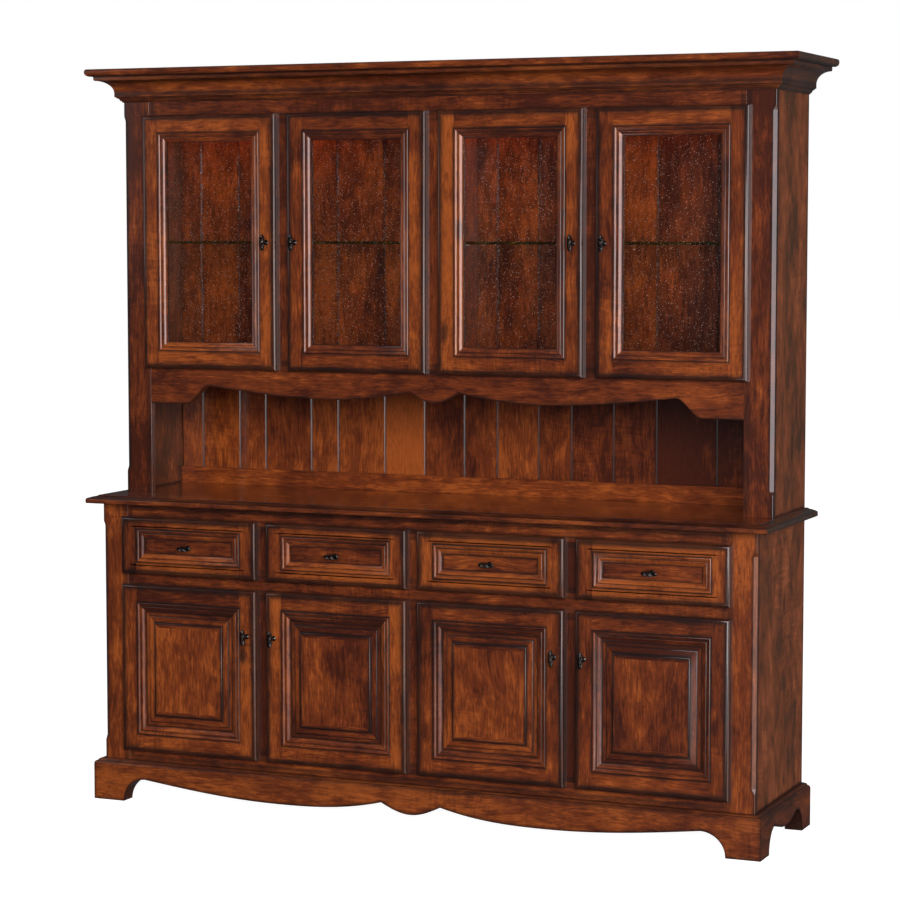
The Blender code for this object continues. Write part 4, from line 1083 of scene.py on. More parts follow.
def make_cap(half, face):
    rule = run_rule(half, face, CAP_SEED, CAP_TONE)
    moulded_board("cap_board", "hutch_cap", half, face, CAP_NOSE, CAP_NOSE_WIDTH, CAP_FADE,
                  rule, SHARP_MOULDING)


# Boards behind the hutch, and the plain boards

V_WIDTH = 0.0056
V_DEPTH = 0.0030
V_SHADOW = 0.006
BACK_BOARD_STEP = 0.00002
LOW_BAND = 0.06
BACK_BOARD_GLAZE = (0.5, 0.9, 0.45, 0.05, 0.05, 0.45, 0.9, 0.5)
SHARP_GROOVE = 20


def make_back_boards():
    """Upright boards of random widths, each with its own tones and a V at every joint."""
    low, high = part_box("hutch_back_boards")
    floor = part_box("hutch_floor")[0].z
    scale = (high.x - low.x) / sum(BOARD_SHARES)
    piece = Piece()
    left = low.x
    for number, (share, niche, cupboard) in enumerate(zip(BOARD_SHARES, NICHE_TONES_WITH_SHADOW, CUPBOARD_TONES)):
        right = left + share * scale
        first, last = left, right - BACK_BOARD_STEP
        rings = []
        for z in (low.z, low.z + LOW_BAND, floor, high.z):
            rings.append([
                (first, high.y, z), (first, low.y + V_DEPTH, z), (first + V_WIDTH / 2, low.y, z),
                (first + V_SHADOW, low.y, z), (last - V_SHADOW, low.y, z), (last - V_WIDTH / 2, low.y, z),
                (last, low.y + V_DEPTH, z), (last, high.y, z),
            ])

        # in the niche, the tones carry painted shadow at the right-hand end
        def rule(point):
            return ("z", BACK_BOARD_SEED + number, niche if point.z < floor else cupboard)

        piece.loft(rings, [BACK_BOARD_GLAZE] * len(rings), rule)
        left = right
    piece.finish("hutch_back_planks", BOARDS, "root", "stained_wood", "hutch_back_boards",
                 sharp=SHARP_GROOVE)


SIDE_STAIN = ((0.330, 0.100, 0.036, 1.0), (0.150, 0.044, 0.017, 1.0), (0.058, 0.026, 0.013, 1.0))
INSIDE_STAIN = ((0.260, 0.080, 0.025, 1.0), (0.150, 0.042, 0.016, 1.0), (0.060, 0.018, 0.010, 1.0))
PALE_WOOD = ((0.62, 0.42, 0.23, 1.0), (0.50, 0.32, 0.165, 1.0), (0.36, 0.21, 0.10, 1.0))
PLAIN_BOARDS = (
    # node, grain, colours, blotches, tone, coat
    # the hutch's sides are toned darker than the base's as painted shade, against the stronger side light
    # there
    ("hutch_left_side", "z", SIDE_STAIN, 1.0, -0.2, 0.04),
    ("hutch_right_side", "z", SIDE_STAIN, 1.0, -0.2, 0.04),
    ("base_left_side", "z", SIDE_STAIN, 1.0, 0.0, 0.04),
    ("base_right_side", "z", SIDE_STAIN, 1.0, 0.0, 0.04),
    ("hutch_back_rail", "x", FRONT_STAIN, 0.8, BACK_RAIL_TONE, 0.5),
    ("hutch_floor", "x", INSIDE_STAIN, 0.7, 0.0, 0.5),
    ("hutch_partition", "z", FRONT_STAIN, 0.9, 0.0, 0.0),
    ("base_floor", "x", INSIDE_STAIN, 0.7, 0.0, 0.5),
    ("base_partition", "z", INSIDE_STAIN, 0.7, 0.0, 0.1),
    ("base_back", "z", INSIDE_STAIN, 0.7, 0.0, 0.5),
    ("drawer_deck", "x", INSIDE_STAIN, 0.7, 0.0, 0.5),
    ("cupboard_shelf_left", "x", INSIDE_STAIN, 0.7, 0.0, 0.5),
    ("cupboard_shelf_right", "x", INSIDE_STAIN, 0.7, 0.0, 0.5),
)
# How far apart in the wood neighbouring plain boards are cut, and neighbouring drawer boxes
BOARD_SHIFT = (1.7, 0.9, 2.3)
BOX_SHIFT = (3.1, 0.0, 0.7)
FIRST_BOX_SHIFT = (0.0, 1.3, 0.0)
BOARD_GLAZE, BOX_GLAZE = 0.85, 0.10
BOX_BLOTCH, BOX_COAT = 0.5, 0.3


def dress_plain_nodes():
    """Stain the flat boards that keep the frame's own shape."""
    for number, (node, run, colours, blotch, tone, coat) in enumerate(PLAIN_BOARDS):
        shift = tuple(number * step for step in BOARD_SHIFT)
        place_of = box_place(node, run, shift, BOARD_GLAZE, tone)
        give(node, wood(f"{node}_stain", place_of, colours, blotch, coat))
    for number in range(1, COLUMNS + 1):
        node = f"drawer_{number}_box"
        shift = tuple(first + number * step for first, step in zip(FIRST_BOX_SHIFT, BOX_SHIFT))
        place_of = box_place(node, "y", shift, BOX_GLAZE, 0.0)
        give(node, wood(f"{node}_finish", place_of, PALE_WOOD, BOX_BLOTCH, BOX_COAT))


def give(node, material):
    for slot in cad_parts[node].material_slots:
        slot.material = material
    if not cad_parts[node].material_slots:
        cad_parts[node].data.materials.append(material)


# Glass

# The panes are tinted darker than clear glass as painted shade, which darkens the cupboard seen through
# them
PANE_TINT_AND_SHADE = (0.80, 0.78, 0.77, 1.0)
PANE_SHADOW = (0.54, 0.52, 0.51, 1.0)
PANE_RIPPLE = 0.30
RIPPLE = ((90.0, 90.0, 66.0), 1.5)
RIPPLE_DEPTH = 0.0010
GLASS_IOR = 1.45
SHELF_SHADOW = (0.75, 0.90, 0.82, 1.0)
SHELF_EDGE = (0.34, 0.80, 0.42, 1.0)
SHELF_FACE = (0.72, 0.86, 0.79, 1.0)
SHELF_ROUGHNESS = 0.01


def glass(name, tint, roughness, ripple, through):
    """Clear glass that lets lamp light through, with its surface gently rippled."""
    material, graph, shader, swell = worked(name, RIPPLE, None, None, {
        "Base Color": tint, "Roughness": roughness, "IOR": GLASS_IOR, "Transmission Weight": 1.0})
    bump = graph.node("ShaderNodeBump", {"Strength": ripple, "Distance": RIPPLE_DEPTH, "Height": swell})
    graph.give(shader.inputs["Normal"], bump.outputs[0])
    clear = graph.node("ShaderNodeBsdfTransparent", {"Color": through})
    shadow = graph.node("ShaderNodeLightPath").outputs["Is Shadow Ray"]
    both = graph.node("ShaderNodeMixShader", {0: shadow, 1: shader.outputs[0], 2: clear.outputs[0]})
    graph.give(material.node_tree.nodes["Material Output"].inputs["Surface"], both.outputs[0])
    return material, graph, shader


def make_glass():
    """Seeded panes for the doors, and shelves whose edges are greener than their faces."""
    seeded = glass("seeded_glass", PANE_TINT_AND_SHADE, 0.0, PANE_RIPPLE, PANE_SHADOW)[0]
    bubbles = seed_tree(seed_gleam())
    for number in range(1, COLUMNS + 1):
        give(f"upper_door_{number}_glass", seeded)
        make_seeds(number, bubbles)
    shelf, graph, shader = glass("shelf_glass", SHELF_FACE, SHELF_ROUGHNESS, 0.0, SHELF_SHADOW)
    facing = graph.node("ShaderNodeTexCoord").outputs["Normal"]
    upwards = graph.node("ShaderNodeSeparateXYZ", {0: graph.vector("ABSOLUTE", facing)}).outputs[2]
    graph.give(shader.inputs["Base Color"], graph.mix(upwards, SHELF_EDGE, SHELF_FACE))
    for word in ("left", "right"):
        give(f"glass_shelf_{word}", shelf)


# Repeated shapes, grown by geometry nodes

GEOMETRY = "NodeSocketGeometry"


def grown_mesh(name, tree, values):
    """The plain mesh that a node tree grows, with the tree's named inputs set."""
    base = put(name + "_seedbed", bpy.data.meshes.new(name + "_seedbed"))
    modifier = base.modifiers.new("grow", "NODES")
    modifier.node_group = tree
    sockets = {item.name: item.identifier for item in tree.interface.items_tree if item.in_out == "INPUT"}
    for label, value in values.items():
        modifier[sockets[label]] = value
    bpy.context.view_layer.update()
    graph = bpy.context.evaluated_depsgraph_get()
    grown = bpy.data.meshes.new_from_object(base.evaluated_get(graph))
    grown.name = name
    bpy.data.objects.remove(base, do_unlink=True)
    return grown


# Seeds, the small bubbles in the panes. The flatness and the length are shares of a bubble's size
SEEDS_PER_SQUARE_METRE = 18000.0
USUAL_PANE = (0.3, 0.6)
SMALLEST_SEED = 0.00034
LARGEST_SEED = 0.00085
SEED_RARITY = 2.5
SEED_FLAT_SHARE = 0.8
SEED_LONG_SHARE = 1.3
SEED_INSET = 0.0015
# pale colours for the opaque bubbles, as a painted glint
SEED_GLINT_COLOURS = ((0.26, 0.15, 0.115, 1.0), (0.56, 0.42, 0.36, 1.0))
SEED_PATTERN = ((160.0, 160.0, 160.0), 1.0)
SEED_ROUGHNESS = 0.30


def seed_gleam():
    """A painted glint: opaque pale bubbles stand in for the light clear ones catch, lighter in some than in
    others.
    """
    return worked("seed_gleam", SEED_PATTERN, SEED_GLINT_COLOURS, None, {"Roughness": SEED_ROUGHNESS})[0]


def seed_tree(material):
    """Small drawn bubbles scattered over an upright pane that is centred on its origin."""
    graph, given, result = open_group(
        "glass_seeds", "GeometryNodeTree",
        (("Geometry", GEOMETRY, None), ("Width", FLOAT, USUAL_PANE[0]), ("Height", FLOAT, USUAL_PANE[1]),
         ("Per square metre", FLOAT, SEEDS_PER_SQUARE_METRE), ("Smallest", FLOAT, SMALLEST_SEED),
         ("Largest", FLOAT, LARGEST_SEED), ("Seed", "NodeSocketInt", 1)),
        (("Geometry", GEOMETRY),))
    sheet = graph.node("GeometryNodeMeshGrid", {
        "Size X": given["Width"], "Size Y": given["Height"],
        "Vertices X": 2, "Vertices Y": 2})
    stand = graph.node("GeometryNodeTransform", {
        "Geometry": sheet.outputs[0], "Rotation": (math.pi / 2, 0.0, 0.0)})
    points = graph.node("GeometryNodeDistributePointsOnFaces", {
        "Mesh": stand.outputs[0], "Density": given["Per square metre"],
        "Seed": given["Seed"]})
    draw = graph.node(
        "FunctionNodeRandomValue", {2: 0.0, 3: 1.0, "Seed": given["Seed"]}, data_type="FLOAT")
    share = graph.math("POWER", draw.outputs[1], SEED_RARITY)
    spread = graph.math("SUBTRACT", given["Largest"], given["Smallest"])
    size = graph.math("MULTIPLY_ADD", share, spread, given["Smallest"])
    flat = graph.math("MULTIPLY", size, SEED_FLAT_SHARE)
    drawn = graph.math("MULTIPLY", size, SEED_LONG_SHARE)
    form = graph.node("ShaderNodeCombineXYZ", {0: size, 1: flat, 2: drawn}).outputs[0]
    bubble = graph.node("GeometryNodeMeshIcoSphere", {"Radius": 1.0, "Subdivisions": 1})
    copies = graph.node("GeometryNodeInstanceOnPoints", {
        "Points": points.outputs[0], "Instance": bubble.outputs[0], "Scale": form})
    real = graph.node("GeometryNodeRealizeInstances", {0: copies.outputs[0]})
    painted = graph.node("GeometryNodeSetMaterial", {"Geometry": real.outputs[0], "Material": material})
    graph.give(result[0], painted.outputs[0])
    return graph.tree


def make_seeds(number, tree):
    """The bubbles inside one pane."""
    low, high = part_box(f"upper_door_{number}_glass")
    mesh = grown_mesh(f"seeds_{number}", tree, {
        "Width": high.x - low.x - 2 * SEED_INSET, "Height": high.z - low.z - 2 * SEED_INSET,
        "Per square metre": SEEDS_PER_SQUARE_METRE, "Smallest": SMALLEST_SEED, "Largest": LARGEST_SEED,
        "Seed": number})
    mesh.transform(Matrix.Translation((low + high) / 2))
    mesh.shade_smooth()
    add_piece(f"upper_door_{number}_seeds", mesh, f"upper_door_{number}", "seeded_glass")


# Pulls

PULL_STANDOFF = 0.026
PULL_LENGTH = 0.046
CAGE_LENGTH_SHARE = 0.88
CAGE_RADIUS = 0.0064
CAGE_END = 0.0020
CAGE_TURNS = 1.2
CAGE_SWELL = 0.55
CAGE_STEPS = 26
WIRE_RADIUS = 0.0014
WIRE_SIDES = 6
WIRES = 6
KNOB = (
    # radius and height, from the tip of a knob inwards
    (0.0004, 0.0), (0.0016, 0.0005), (0.0024, 0.0018), (0.0021, 0.0032), (0.0013, 0.0040),
    (0.0024, 0.0048), (0.0025, 0.0056), (0.0010, 0.0064),
)
STEM = (
    # radius and height, from the face of the door outwards
    (0.0070, 0.0), (0.0071, 0.0012), (0.0062, 0.0022), (0.0042, 0.0030), (0.0030, 0.0050),
    (0.0026, 0.0100), (0.0024, 0.0180), (0.0030, 0.0205), (0.0016, 0.0225),
)
KNOB_SIDES = 12
STEM_SIDES = 16
SHARP_IRON = 50
IRON_FADE = (0.35, 0.75)
IRON_ROUGHNESS = (0.24, 0.12)
IRON_COLOURS = ((0.022, 0.021, 0.020, 1.0), (0.15, 0.145, 0.135, 1.0))
HAMMERING = ((420.0, 420.0, 420.0), 3.0)
HAMMER_DEPTH, HAMMER_STRENGTH = 0.0004, 0.4


def cage_tree(material):
    """Twisted wires that swell from two knobs: one upright spindle, centred on its origin."""
    graph, given, result = open_group(
        "twisted_cage", "GeometryNodeTree",
        (("Geometry", GEOMETRY, None), ("Length", FLOAT, PULL_LENGTH), ("Radius", FLOAT, CAGE_RADIUS),
         ("End", FLOAT, CAGE_END), ("Wire", FLOAT, WIRE_RADIUS), ("Turns", FLOAT, CAGE_TURNS),
         ("Wires", "NodeSocketInt", WIRES)),
        (("Geometry", GEOMETRY),))
    line = graph.node("GeometryNodeCurvePrimitiveLine")
    fine = graph.node("GeometryNodeResampleCurve", {"Curve": line.outputs[0], "Count": CAGE_STEPS})
    share = graph.node("GeometryNodeSplineParameter").outputs["Factor"]
    rise = graph.math("MULTIPLY", graph.math("SUBTRACT", share, 0.5), given["Length"])
    swell = graph.math("POWER", graph.math("SINE", graph.math("MULTIPLY", share, math.pi)), CAGE_SWELL)
    spread = graph.math("SUBTRACT", given["Radius"], given["End"])
    away = graph.math("MULTIPLY_ADD", swell, spread, given["End"])
    angle = graph.math("MULTIPLY", graph.math("MULTIPLY", share, given["Turns"]), math.tau)
    spot = graph.node("ShaderNodeCombineXYZ", {
        0: graph.math("MULTIPLY", away, graph.math("COSINE", angle)),
        1: graph.math("MULTIPLY", away, graph.math("SINE", angle)), 2: rise}).outputs[0]
    wire = graph.node("GeometryNodeSetPosition", {"Geometry": fine.outputs[0], "Position": spot})
    points = graph.node("GeometryNodeMeshLine", {
        "Count": given["Wires"], "Offset": (0.0, 0.0, 0.0)})
    index = graph.node("GeometryNodeInputIndex").outputs[0]
    turn = graph.math("DIVIDE", graph.math("MULTIPLY", index, math.tau), given["Wires"])
    turned = graph.node("ShaderNodeCombineXYZ", {2: turn}).outputs[0]
    copies = graph.node("GeometryNodeInstanceOnPoints", {
        "Points": points.outputs[0], "Instance": wire.outputs[0], "Rotation": turned})
    real = graph.node("GeometryNodeRealizeInstances", {0: copies.outputs[0]})
    section = graph.node("GeometryNodeCurvePrimitiveCircle", {
        "Resolution": WIRE_SIDES, "Radius": given["Wire"]})
    solid = graph.node("GeometryNodeCurveToMesh", {
        "Curve": real.outputs[0], "Profile Curve": section.outputs[0], "Fill Caps": True})
    again = graph.node("GeometryNodeRealizeInstances", {0: solid.outputs[0]})
    painted = graph.node("GeometryNodeSetMaterial", {"Geometry": again.outputs[0], "Material": material})
    graph.give(result[0], painted.outputs[0])
    return graph.tree


def skin(bm, rings, matrix):
    """Skin a row of rings that have the same number of points, and close both ends."""
    rows = [[bm.verts.new(matrix @ Vector(point)) for point in ring] for ring in rings]
    for one, two in zip(rows, rows[1:]):
        for here in range(len(one)):
            bm.faces.new((one[here - 1], one[here], two[here], two[here - 1]))
    bm.faces.new(rows[0])
    bm.faces.new(rows[-1])


def turned_shape(bm, outline, sides, matrix):
    """A shape turned on its own Z axis from an outline of (radius, height), moved by matrix."""
    turns = [math.tau * side / sides for side in range(sides)]
    skin(bm, [[(r * math.cos(a), r * math.sin(a), h) for a in turns] for r, h in outline], matrix)


LEAST_BEND = 0.0003
BEND_STEPS = 5


def pressed_plate(bm, wide, tall, corner, levels, matrix):
    """A plate with round corners that lies in its own XY plane. Each level is an inset and a height."""
    rings = []
    for inset, height in levels:
        ring, bend = [], max(corner - inset, LEAST_BEND)
        for quarter, (way_x, way_y) in enumerate(((1, 1), (-1, 1), (-1, -1), (1, -1))):
            centre = (way_x * (wide / 2 - inset - bend), way_y * (tall / 2 - inset - bend))
            for x, y in arc(centre, bend, bend, quarter * 90, quarter * 90 + 90, BEND_STEPS):
                ring.append((x, y, height))
        rings.append(ring)
    skin(bm, rings, matrix)


def iron():
    """Black waxed wrought iron, lightly hammered and rubbed bright on its high spots."""
    material, graph, shader, patch = worked("black_iron", HAMMERING, None, IRON_ROUGHNESS, METAL)
    colour = graph.mix(graph.fade(patch, *IRON_FADE), *IRON_COLOURS)
    graph.give(shader.inputs["Base Color"], colour)
    bump = graph.node("ShaderNodeBump", {
        "Strength": HAMMER_STRENGTH, "Distance": HAMMER_DEPTH, "Height": patch})
    graph.give(shader.inputs["Normal"], bump.outputs[0])
    return material


def pull_mesh():
    """A birdcage of twisted iron wires between two knobs, on a turned stem that starts at the origin."""
    cage = grown_mesh("cage", cage_tree(iron()), {
        "Length": PULL_LENGTH * CAGE_LENGTH_SHARE, "Radius": CAGE_RADIUS, "End": CAGE_END,
        "Wire": WIRE_RADIUS, "Turns": CAGE_TURNS, "Wires": WIRES})
    bm = bmesh.new()
    bm.from_mesh(cage)
    bmesh.ops.translate(bm, verts=bm.verts, vec=(0, -PULL_STANDOFF, 0))
    end, out = PULL_LENGTH / 2, Matrix.Translation((0, -PULL_STANDOFF, 0))
    for way in (1, -1):
        turned_shape(bm, [(r, way * (end - h)) for r, h in KNOB], KNOB_SIDES, out)
    turned_shape(bm, STEM, STEM_SIDES, Matrix.Rotation(math.pi / 2, 4, "X"))
    bmesh.ops.recalc_face_normals(bm, faces=bm.faces)
    bm.to_mesh(cage)
    bm.free()
    cage.shade_smooth()
    cage.set_sharp_from_angle(angle=math.radians(SHARP_IRON))
    return cage


def make_pulls():
    """The same pull on every front: upright on the doors, lying on the drawers."""
    pull = pull_mesh()
    for number in range(1, COLUMNS + 1):
        for kind in ("upper_door", "lower_door", "drawer"):
            body = f"{kind}_{number}"
            low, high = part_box(f"{body}_pull")
            middle = (low + high) / 2
            move = Matrix.Translation((middle.x, high.y, middle.z))
            if kind == "drawer":
                move = move @ Matrix.Rotation(math.pi / 2, 4, "Y")
            mesh = pull.copy()
            mesh.transform(move)
            add_piece(f"{body}_birdcage", mesh, body, "black_iron", f"{body}_pull")


# Lamps in the hutch

PUCKS = (-0.756, -0.486, 0.091, 0.607)
PUCK_FORWARD = 0.05
PUCK_RING = (
    # radius and height, from the hole under the cap round the rim
    (0.024, 0.0), (0.0335, 0.0), (0.0340, -0.0010), (0.0340, -0.0100), (0.0325, -0.0125),
    (0.0290, -0.0135), (0.0270, -0.0130), (0.0268, -0.0095), (0.0240, -0.0090),
)
PUCK_LENS = (
    (0.0262, -0.0098), (0.0262, -0.0112), (0.0225, -0.0128), (0.0150, -0.0142), (0.0060, -0.0150),
)
PUCK_SIDES = 40
LENS_COLOURS = ((0.80, 0.72, 0.60, 1.0), (0.95, 0.90, 0.80, 1.0))
LENS_GLOW = (1.0, 0.62, 0.30, 1.0)
LENS_STRENGTH = 1.5
FROST = ((300.0, 300.0, 300.0), 2.0)
LENS_ROUGHNESS = (0.2, 0.35)
RING_COLOUR = (0.30, 0.26, 0.22, 1.0)
RING_BRUSHING = ((900.0, 900.0, 60.0), 2.0)
RING_ROUGHNESS = (0.2, 0.25)
GLOW_DROP = 0.045
GLOW_POWER = 1.2
GLOW_COLOUR = (1.0, 0.36, 0.12)
GLOW_SIZE = 0.02


def frosted_lens():
    return worked("lamp_lens", FROST, LENS_COLOURS, LENS_ROUGHNESS, {
        "Emission Color": LENS_GLOW, "Emission Strength": LENS_STRENGTH})[0]


def lamp_ring():
    return worked("lamp_ring", RING_BRUSHING, None, RING_ROUGHNESS, {**METAL, "Base Color": RING_COLOUR})[0]


def make_pucks():
    """Small round lamps under the top of the hutch, each with a frosted lens in a metal ring."""
    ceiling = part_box("hutch_cap")[0].z - FIT
    low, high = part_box("hutch_floor")
    middle = (low.y + high.y) / 2 + PUCK_FORWARD
    rings, lenses = bmesh.new(), bmesh.new()
    for x in PUCKS:
        move = Matrix.Translation((x, middle, ceiling))
        turned_shape(rings, PUCK_RING, PUCK_SIDES, move)
        turned_shape(lenses, PUCK_LENS, PUCK_SIDES, move)
        data = bpy.data.lights.new("puck_glow", "POINT")
        data.energy = GLOW_POWER
        data.color = GLOW_COLOUR
        data.shadow_soft_size = GLOW_SIZE
        glow = put("puck_glow", data)
        glow.location = (x, middle, ceiling - GLOW_DROP)
    add_hardware("puck_rings", rings, lamp_ring(), "root", "hinge_steel")
    add_hardware("puck_lenses", lenses, frosted_lens(), "root", "lamp_lens")


SHARP_HARDWARE = 40


def add_hardware(name, bm, material, body, slot):
    """Make one piece of the small parts collected in bm."""
    add_piece(name, mesh_of(name, bm, material, SHARP_HARDWARE), body, slot)


# Hinges and shelf pins

STEEL_COLOURS = ((0.42, 0.41, 0.39, 1.0), (0.62, 0.60, 0.57, 1.0))
STEEL_BRUSHING = ((700.0, 700.0, 90.0), 3.0)
STEEL_ROUGHNESS = (0.22, 0.22)
HINGE_FROM_END = 0.085
CUP_FROM_EDGE = 0.0335
CUP_SIDES = 36
CUP = (
    (0.0175, 0.0), (0.0175, 0.0008), (0.0168, 0.0014), (0.0150, 0.0014), (0.0144, 0.0006), (0.0140, 0.0002),
)
SCREW = (
    (0.0038, 0.0), (0.0038, 0.0004), (0.0030, 0.0011), (0.0014, 0.0014), (0.0013, 0.0006), (0.0004, 0.0006),
)
SCREW_SIDES = 16
PLATE = ((0.0, 0.0), (0.0, 0.0010), (0.0004, 0.0014))
PLATE_THICKNESS = PLATE[-1][1]
# Plates: width, height, corner and levels
ARM = (0.026, 0.013, 0.003, ((0.0, 0.0), (0.0, 0.0052), (0.0008, 0.0062)))
EAR = (0.013, 0.013, 0.005, PLATE)
WALL_PLATE = (0.052, 0.016, 0.004, PLATE)
WALL_BLOCK = (0.013, 0.015, 0.002, ((0.0, 0.001), (0.0, 0.0042), (0.0006, 0.0048)))
PIN_SEAT = (0.010, 0.008, 0.002, ((0.0, 0.0), (0.0, 0.0010), (0.0003, 0.0014)))
ARM_SHIFT = 0.002
ARM_RISE = 0.0005
EAR_REACH = 0.0225
WALL_INSET = 0.0095
WALL_SCREW_REACH = 0.018
PIN = ((0.0024, 0.0), (0.0024, 0.0080), (0.0018, 0.0090))
PIN_SIDES = 14
PIN_DEPTH_SHARE = 0.3
PIN_DROP = 0.0030
SEAT_DROP = 0.0017
SEAT_OUT = 0.0055


def steel():
    """Nickel-plated pressed steel with faint brushing."""
    return worked("hinge_steel", STEEL_BRUSHING, STEEL_COLOURS, STEEL_ROUGHNESS, METAL)[0]


def hinge_cup(bm, place, inwards):
    """The cup let into the back of a door, with the end of its arm and its two screwed ears."""
    turned_shape(bm, CUP, CUP_SIDES, place)
    pressed_plate(bm, *ARM, place @ Matrix.Translation((-inwards * ARM_SHIFT, 0, ARM_RISE)))
    for way in (-1, 1):
        ear = place @ Matrix.Translation((0, way * EAR_REACH, 0))
        pressed_plate(bm, *EAR, ear)
        turned_shape(bm, SCREW, SCREW_SIDES, ear @ Matrix.Translation((0, 0, PLATE_THICKNESS)))


def hinge_plate(bm, place):
    """The plate screwed to the side of a door's opening."""
    pressed_plate(bm, *WALL_PLATE, place)
    pressed_plate(bm, *WALL_BLOCK, place)
    for way in (-1, 1):
        screw = place @ Matrix.Translation((way * WALL_SCREW_REACH, 0, PLATE_THICKNESS))
        turned_shape(bm, SCREW, SCREW_SIDES, screw)


def make_hinges(nickel):
    """Concealed hinges: a cup on the back of each door, and a plate in the frame's opening."""
    for kind in ("upper_door", "lower_door"):
        plates = bmesh.new()
        for number in range(1, COLUMNS + 1):
            body = f"{kind}_{number}"
            low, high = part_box(f"{body}_frame")
            edge, inwards = (low.x, 1) if number % 2 == 1 else (high.x, -1)
            cups = bmesh.new()
            for z in (low.z + HINGE_FROM_END, high.z - HINGE_FROM_END):
                back = Matrix.Translation((edge + inwards * CUP_FROM_EDGE, high.y, z))
                hinge_cup(cups, back @ Matrix.Rotation(-math.pi / 2, 4, "X"), inwards)
                wall = Matrix.Translation((edge + inwards * OVERLAY, high.y + FIT + WALL_INSET, z))
                hinge_plate(plates, wall @ Matrix.Rotation(inwards * math.pi / 2, 4, "Y"))
            add_hardware(f"{body}_hinge_cups", cups, nickel, body, "hinge_steel")
        add_hardware(f"{kind}_hinge_plates", plates, nickel, "root", "hinge_steel")


def make_shelf_pins(nickel):
    """Four pins under each shelf, each with a small seat that the shelf lies on."""
    pins = bmesh.new()
    for row in ("glass_shelf", "cupboard_shelf"):
        for word in ("left", "right"):
            low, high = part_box(f"{row}_{word}")
            deep = (high.y - low.y) * PIN_DEPTH_SHARE
            for x, way in ((low.x, 1), (high.x, -1)):
                for y in (low.y + deep, high.y - deep):
                    pin = Matrix.Translation((x, y, low.z - PIN_DROP))
                    turned_shape(pins, PIN, PIN_SIDES, pin @ Matrix.Rotation(way * math.pi / 2, 4, "Y"))
                    seat = Matrix.Translation((x + way * SEAT_OUT, y, low.z - SEAT_DROP))
                    pressed_plate(pins, *PIN_SEAT, seat)
    add_hardware("shelf_pins", pins, nickel, "root", "hinge_steel")


def make_hardware():
    nickel = steel()
    make_hinges(nickel)
    make_shelf_pins(nickel)


# Stage

WARM, COOL, PINK = (1.0, 0.955, 0.97), (0.93, 0.95, 1.0), (1.0, 0.72, 0.62)
LAMPS = (
    # name, azimuth, distance, height, size, radiance, colour, and whether it makes highlights alone
    ("softbox_front", 27, 14.0, 5.0, (12.0, 7.0), 9.4, WARM, False),
    ("softbox_side", 99, 5.2, 1.8, (5.4, 3.0), 1.6, COOL, False),
    ("panel_left", -56, 5.0, 2.3, (3.0, 2.0), 1.2, COOL, True),
    ("panel_front", 33, 4.6, 1.5, (4.0, 2.1), 7.5, WARM, True),
    ("panel_side", 92, 4.4, 1.5, (4.6, 2.1), 4.9, COOL, True),
    ("floor_front", 27, 4.65, -0.6, (5.2, 1.9), 1.5, WARM, True),
    ("floor_side", 92, 4.45, -0.6, (4.6, 1.9), 2.4, PINK, True),
)
HIGHEST_AIM = 1.2
WHITE = (1.0, 1.0, 1.0, 1.0)
FLOOR_SIZE = 40
FLOOR_COLOUR = (0.40, 0.40, 0.40, 1.0)
FLOOR_MIRRORED = (0.02, 0.02, 0.02, 1.0)
FLOOR_ROUGHNESS = 0.9
FLOOR_GLOW = (1.0, 2.5, 0.97, 1.0)
SKY_COLOUR = (0.86, 0.90, 1.0, 1.0)
SKY_STRENGTH = 0.12
SKY_BEHIND = (-0.1, 0.8, 0.02, 0.05)
SKY_ABOVE = (0.15, 0.9, 0.0, 0.12)
CAMERA_ACROSS = 2.9375
CAMERA_FROM_FACE = 6.612
CAMERA_HEIGHT = 1.6325
CAMERA_LENS = 107.56
CAMERA_SENSOR = 36
CAMERA_TURN = 23.17
CAMERA_DIP = 4.745
FARTHEST_SEEN = 100


def area_lamp(name, azimuth, distance, height, size, radiance, colour, shine):
    """A flat lamp that faces the cabinet. Azimuth 0 is straight in front, 90 is the viewer's right.

    With shine, the lamp makes highlights alone. Without it, the lamp lights the surfaces alone.
    """
    turn = math.radians(azimuth)
    data = bpy.data.lights.new(name, "AREA")
    data.shape = "RECTANGLE"
    data.size, data.size_y = size
    data.energy = radiance * math.pi * size[0] * size[1]
    data.color = colour
    lamp = put(name, data)
    lamp.location = (math.sin(turn) * distance, -math.cos(turn) * distance, height)
    aim = Vector((0, 0, min(height, HIGHEST_AIM))) - lamp.location
    lamp.rotation_euler = aim.to_track_quat("-Z", "Y").to_euler()
    lamp.visible_glossy = shine
    lamp.visible_diffuse = not shine


def mirrored_ray(graph):
    """One for a ray that has met a mirroring surface on its way."""
    path = graph.node("ShaderNodeLightPath")
    return graph.math("GREATER_THAN", path.outputs["Glossy Depth"], 0.5)


def seen_ray(graph):
    """One for a ray that the camera sees, straight or through glass, and not mirrored on its way."""
    path = graph.node("ShaderNodeLightPath")
    turns = graph.math("ADD", path.outputs["Diffuse Depth"], path.outputs["Glossy Depth"])
    unturned = graph.math("LESS_THAN", turns, 0.5)
    through = graph.math("MULTIPLY", path.outputs["Is Transmission Ray"], unturned)
    return graph.math("MAXIMUM", path.outputs["Is Camera Ray"], through)


def floor_paint():
    """Pale grey paint that the camera sees as white."""
    material, graph, shader = principled("floor_paint", {
        "Roughness": FLOOR_ROUGHNESS, "Specular IOR Level": 0.0, "Emission Color": WHITE})
    graph.give(shader.inputs["Base Color"], graph.mix(mirrored_ray(graph), FLOOR_COLOUR, FLOOR_MIRRORED))
    away = graph.node("ShaderNodeVectorMath", {0: graph.place()}, operation="LENGTH").outputs["Value"]
    glow = graph.fade(away, *FLOOR_GLOW)
    graph.give(shader.inputs["Emission Strength"], graph.math("MULTIPLY", seen_ray(graph), glow))
    return material


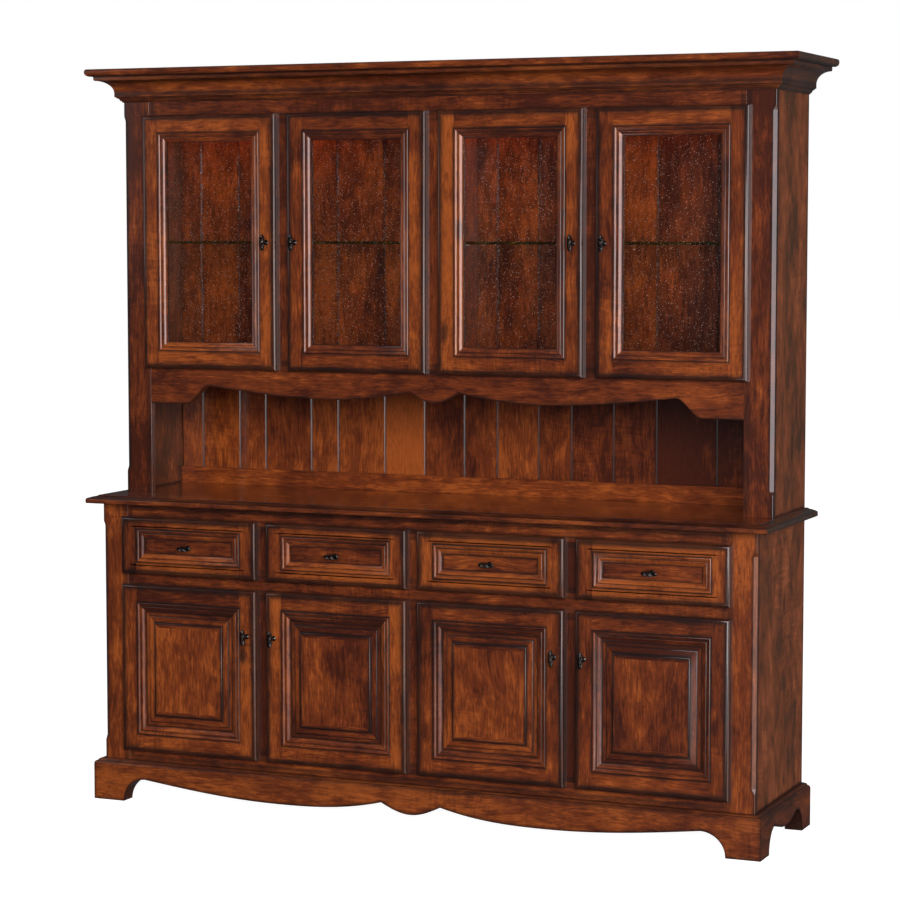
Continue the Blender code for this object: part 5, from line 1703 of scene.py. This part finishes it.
def make_floor():
    bm = bmesh.new()
    bmesh.ops.create_grid(bm, x_segments=1, y_segments=1, size=FLOOR_SIZE)
    mesh = bpy.data.meshes.new("floor")
    bm.to_mesh(mesh)
    bm.free()
    mesh.materials.append(floor_paint())
    floor = put("floor", mesh)
    floor.visible_glossy = False
    floor.visible_shadow = False


def make_sky():
    """White where the camera sees it, and a dim fill elsewhere.

    Surfaces that mirror it find it darker still at the sides, and a little brighter overhead.
    """
    world = bpy.data.worlds.new("studio")
    world.use_nodes = True
    graph = Graph(world.node_tree)
    spot = graph.node("ShaderNodeTexCoord").outputs["Generated"]
    way = graph.node("ShaderNodeSeparateXYZ", {0: spot}).outputs
    dim = graph.math("ADD", graph.fade(way[1], *SKY_BEHIND), graph.fade(way[2], *SKY_ABOVE))
    fill = graph.node("ShaderNodeMix", {0: mirrored_ray(graph), 2: SKY_STRENGTH, 3: dim}).outputs[0]
    strength = graph.node("ShaderNodeMix", {0: seen_ray(graph), 2: fill, 3: 1.0}).outputs[0]
    sky = world.node_tree.nodes["Background"]
    graph.give(sky.inputs["Color"], graph.mix(seen_ray(graph), SKY_COLOUR, WHITE))
    graph.give(sky.inputs["Strength"], strength)
    bpy.context.scene.world = world


def make_stage():
    make_floor()
    make_sky()
    for values in LAMPS:
        area_lamp(*values)
    bpy.context.scene.view_settings.view_transform = "Standard"


def make_camera():
    data = bpy.data.cameras.new("camera")
    data.lens = CAMERA_LENS
    data.sensor_width = CAMERA_SENSOR
    data.clip_end = FARTHEST_SEEN
    camera = put("camera", data)
    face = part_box("base_face_frame")[0].y
    camera.location = (CAMERA_ACROSS, face - CAMERA_FROM_FACE, CAMERA_HEIGHT)
    camera.rotation_euler = (math.radians(90 - CAMERA_DIP), 0, math.radians(CAMERA_TURN))
    bpy.context.scene.camera = camera


make_camera()
make_fronts()
make_hutch_frame()
make_base_frame()
make_plinth()
make_top()
make_crown()
make_back_boards()
dress_plain_nodes()
make_glass()
make_pulls()
make_pucks()
make_hardware()
make_stage()
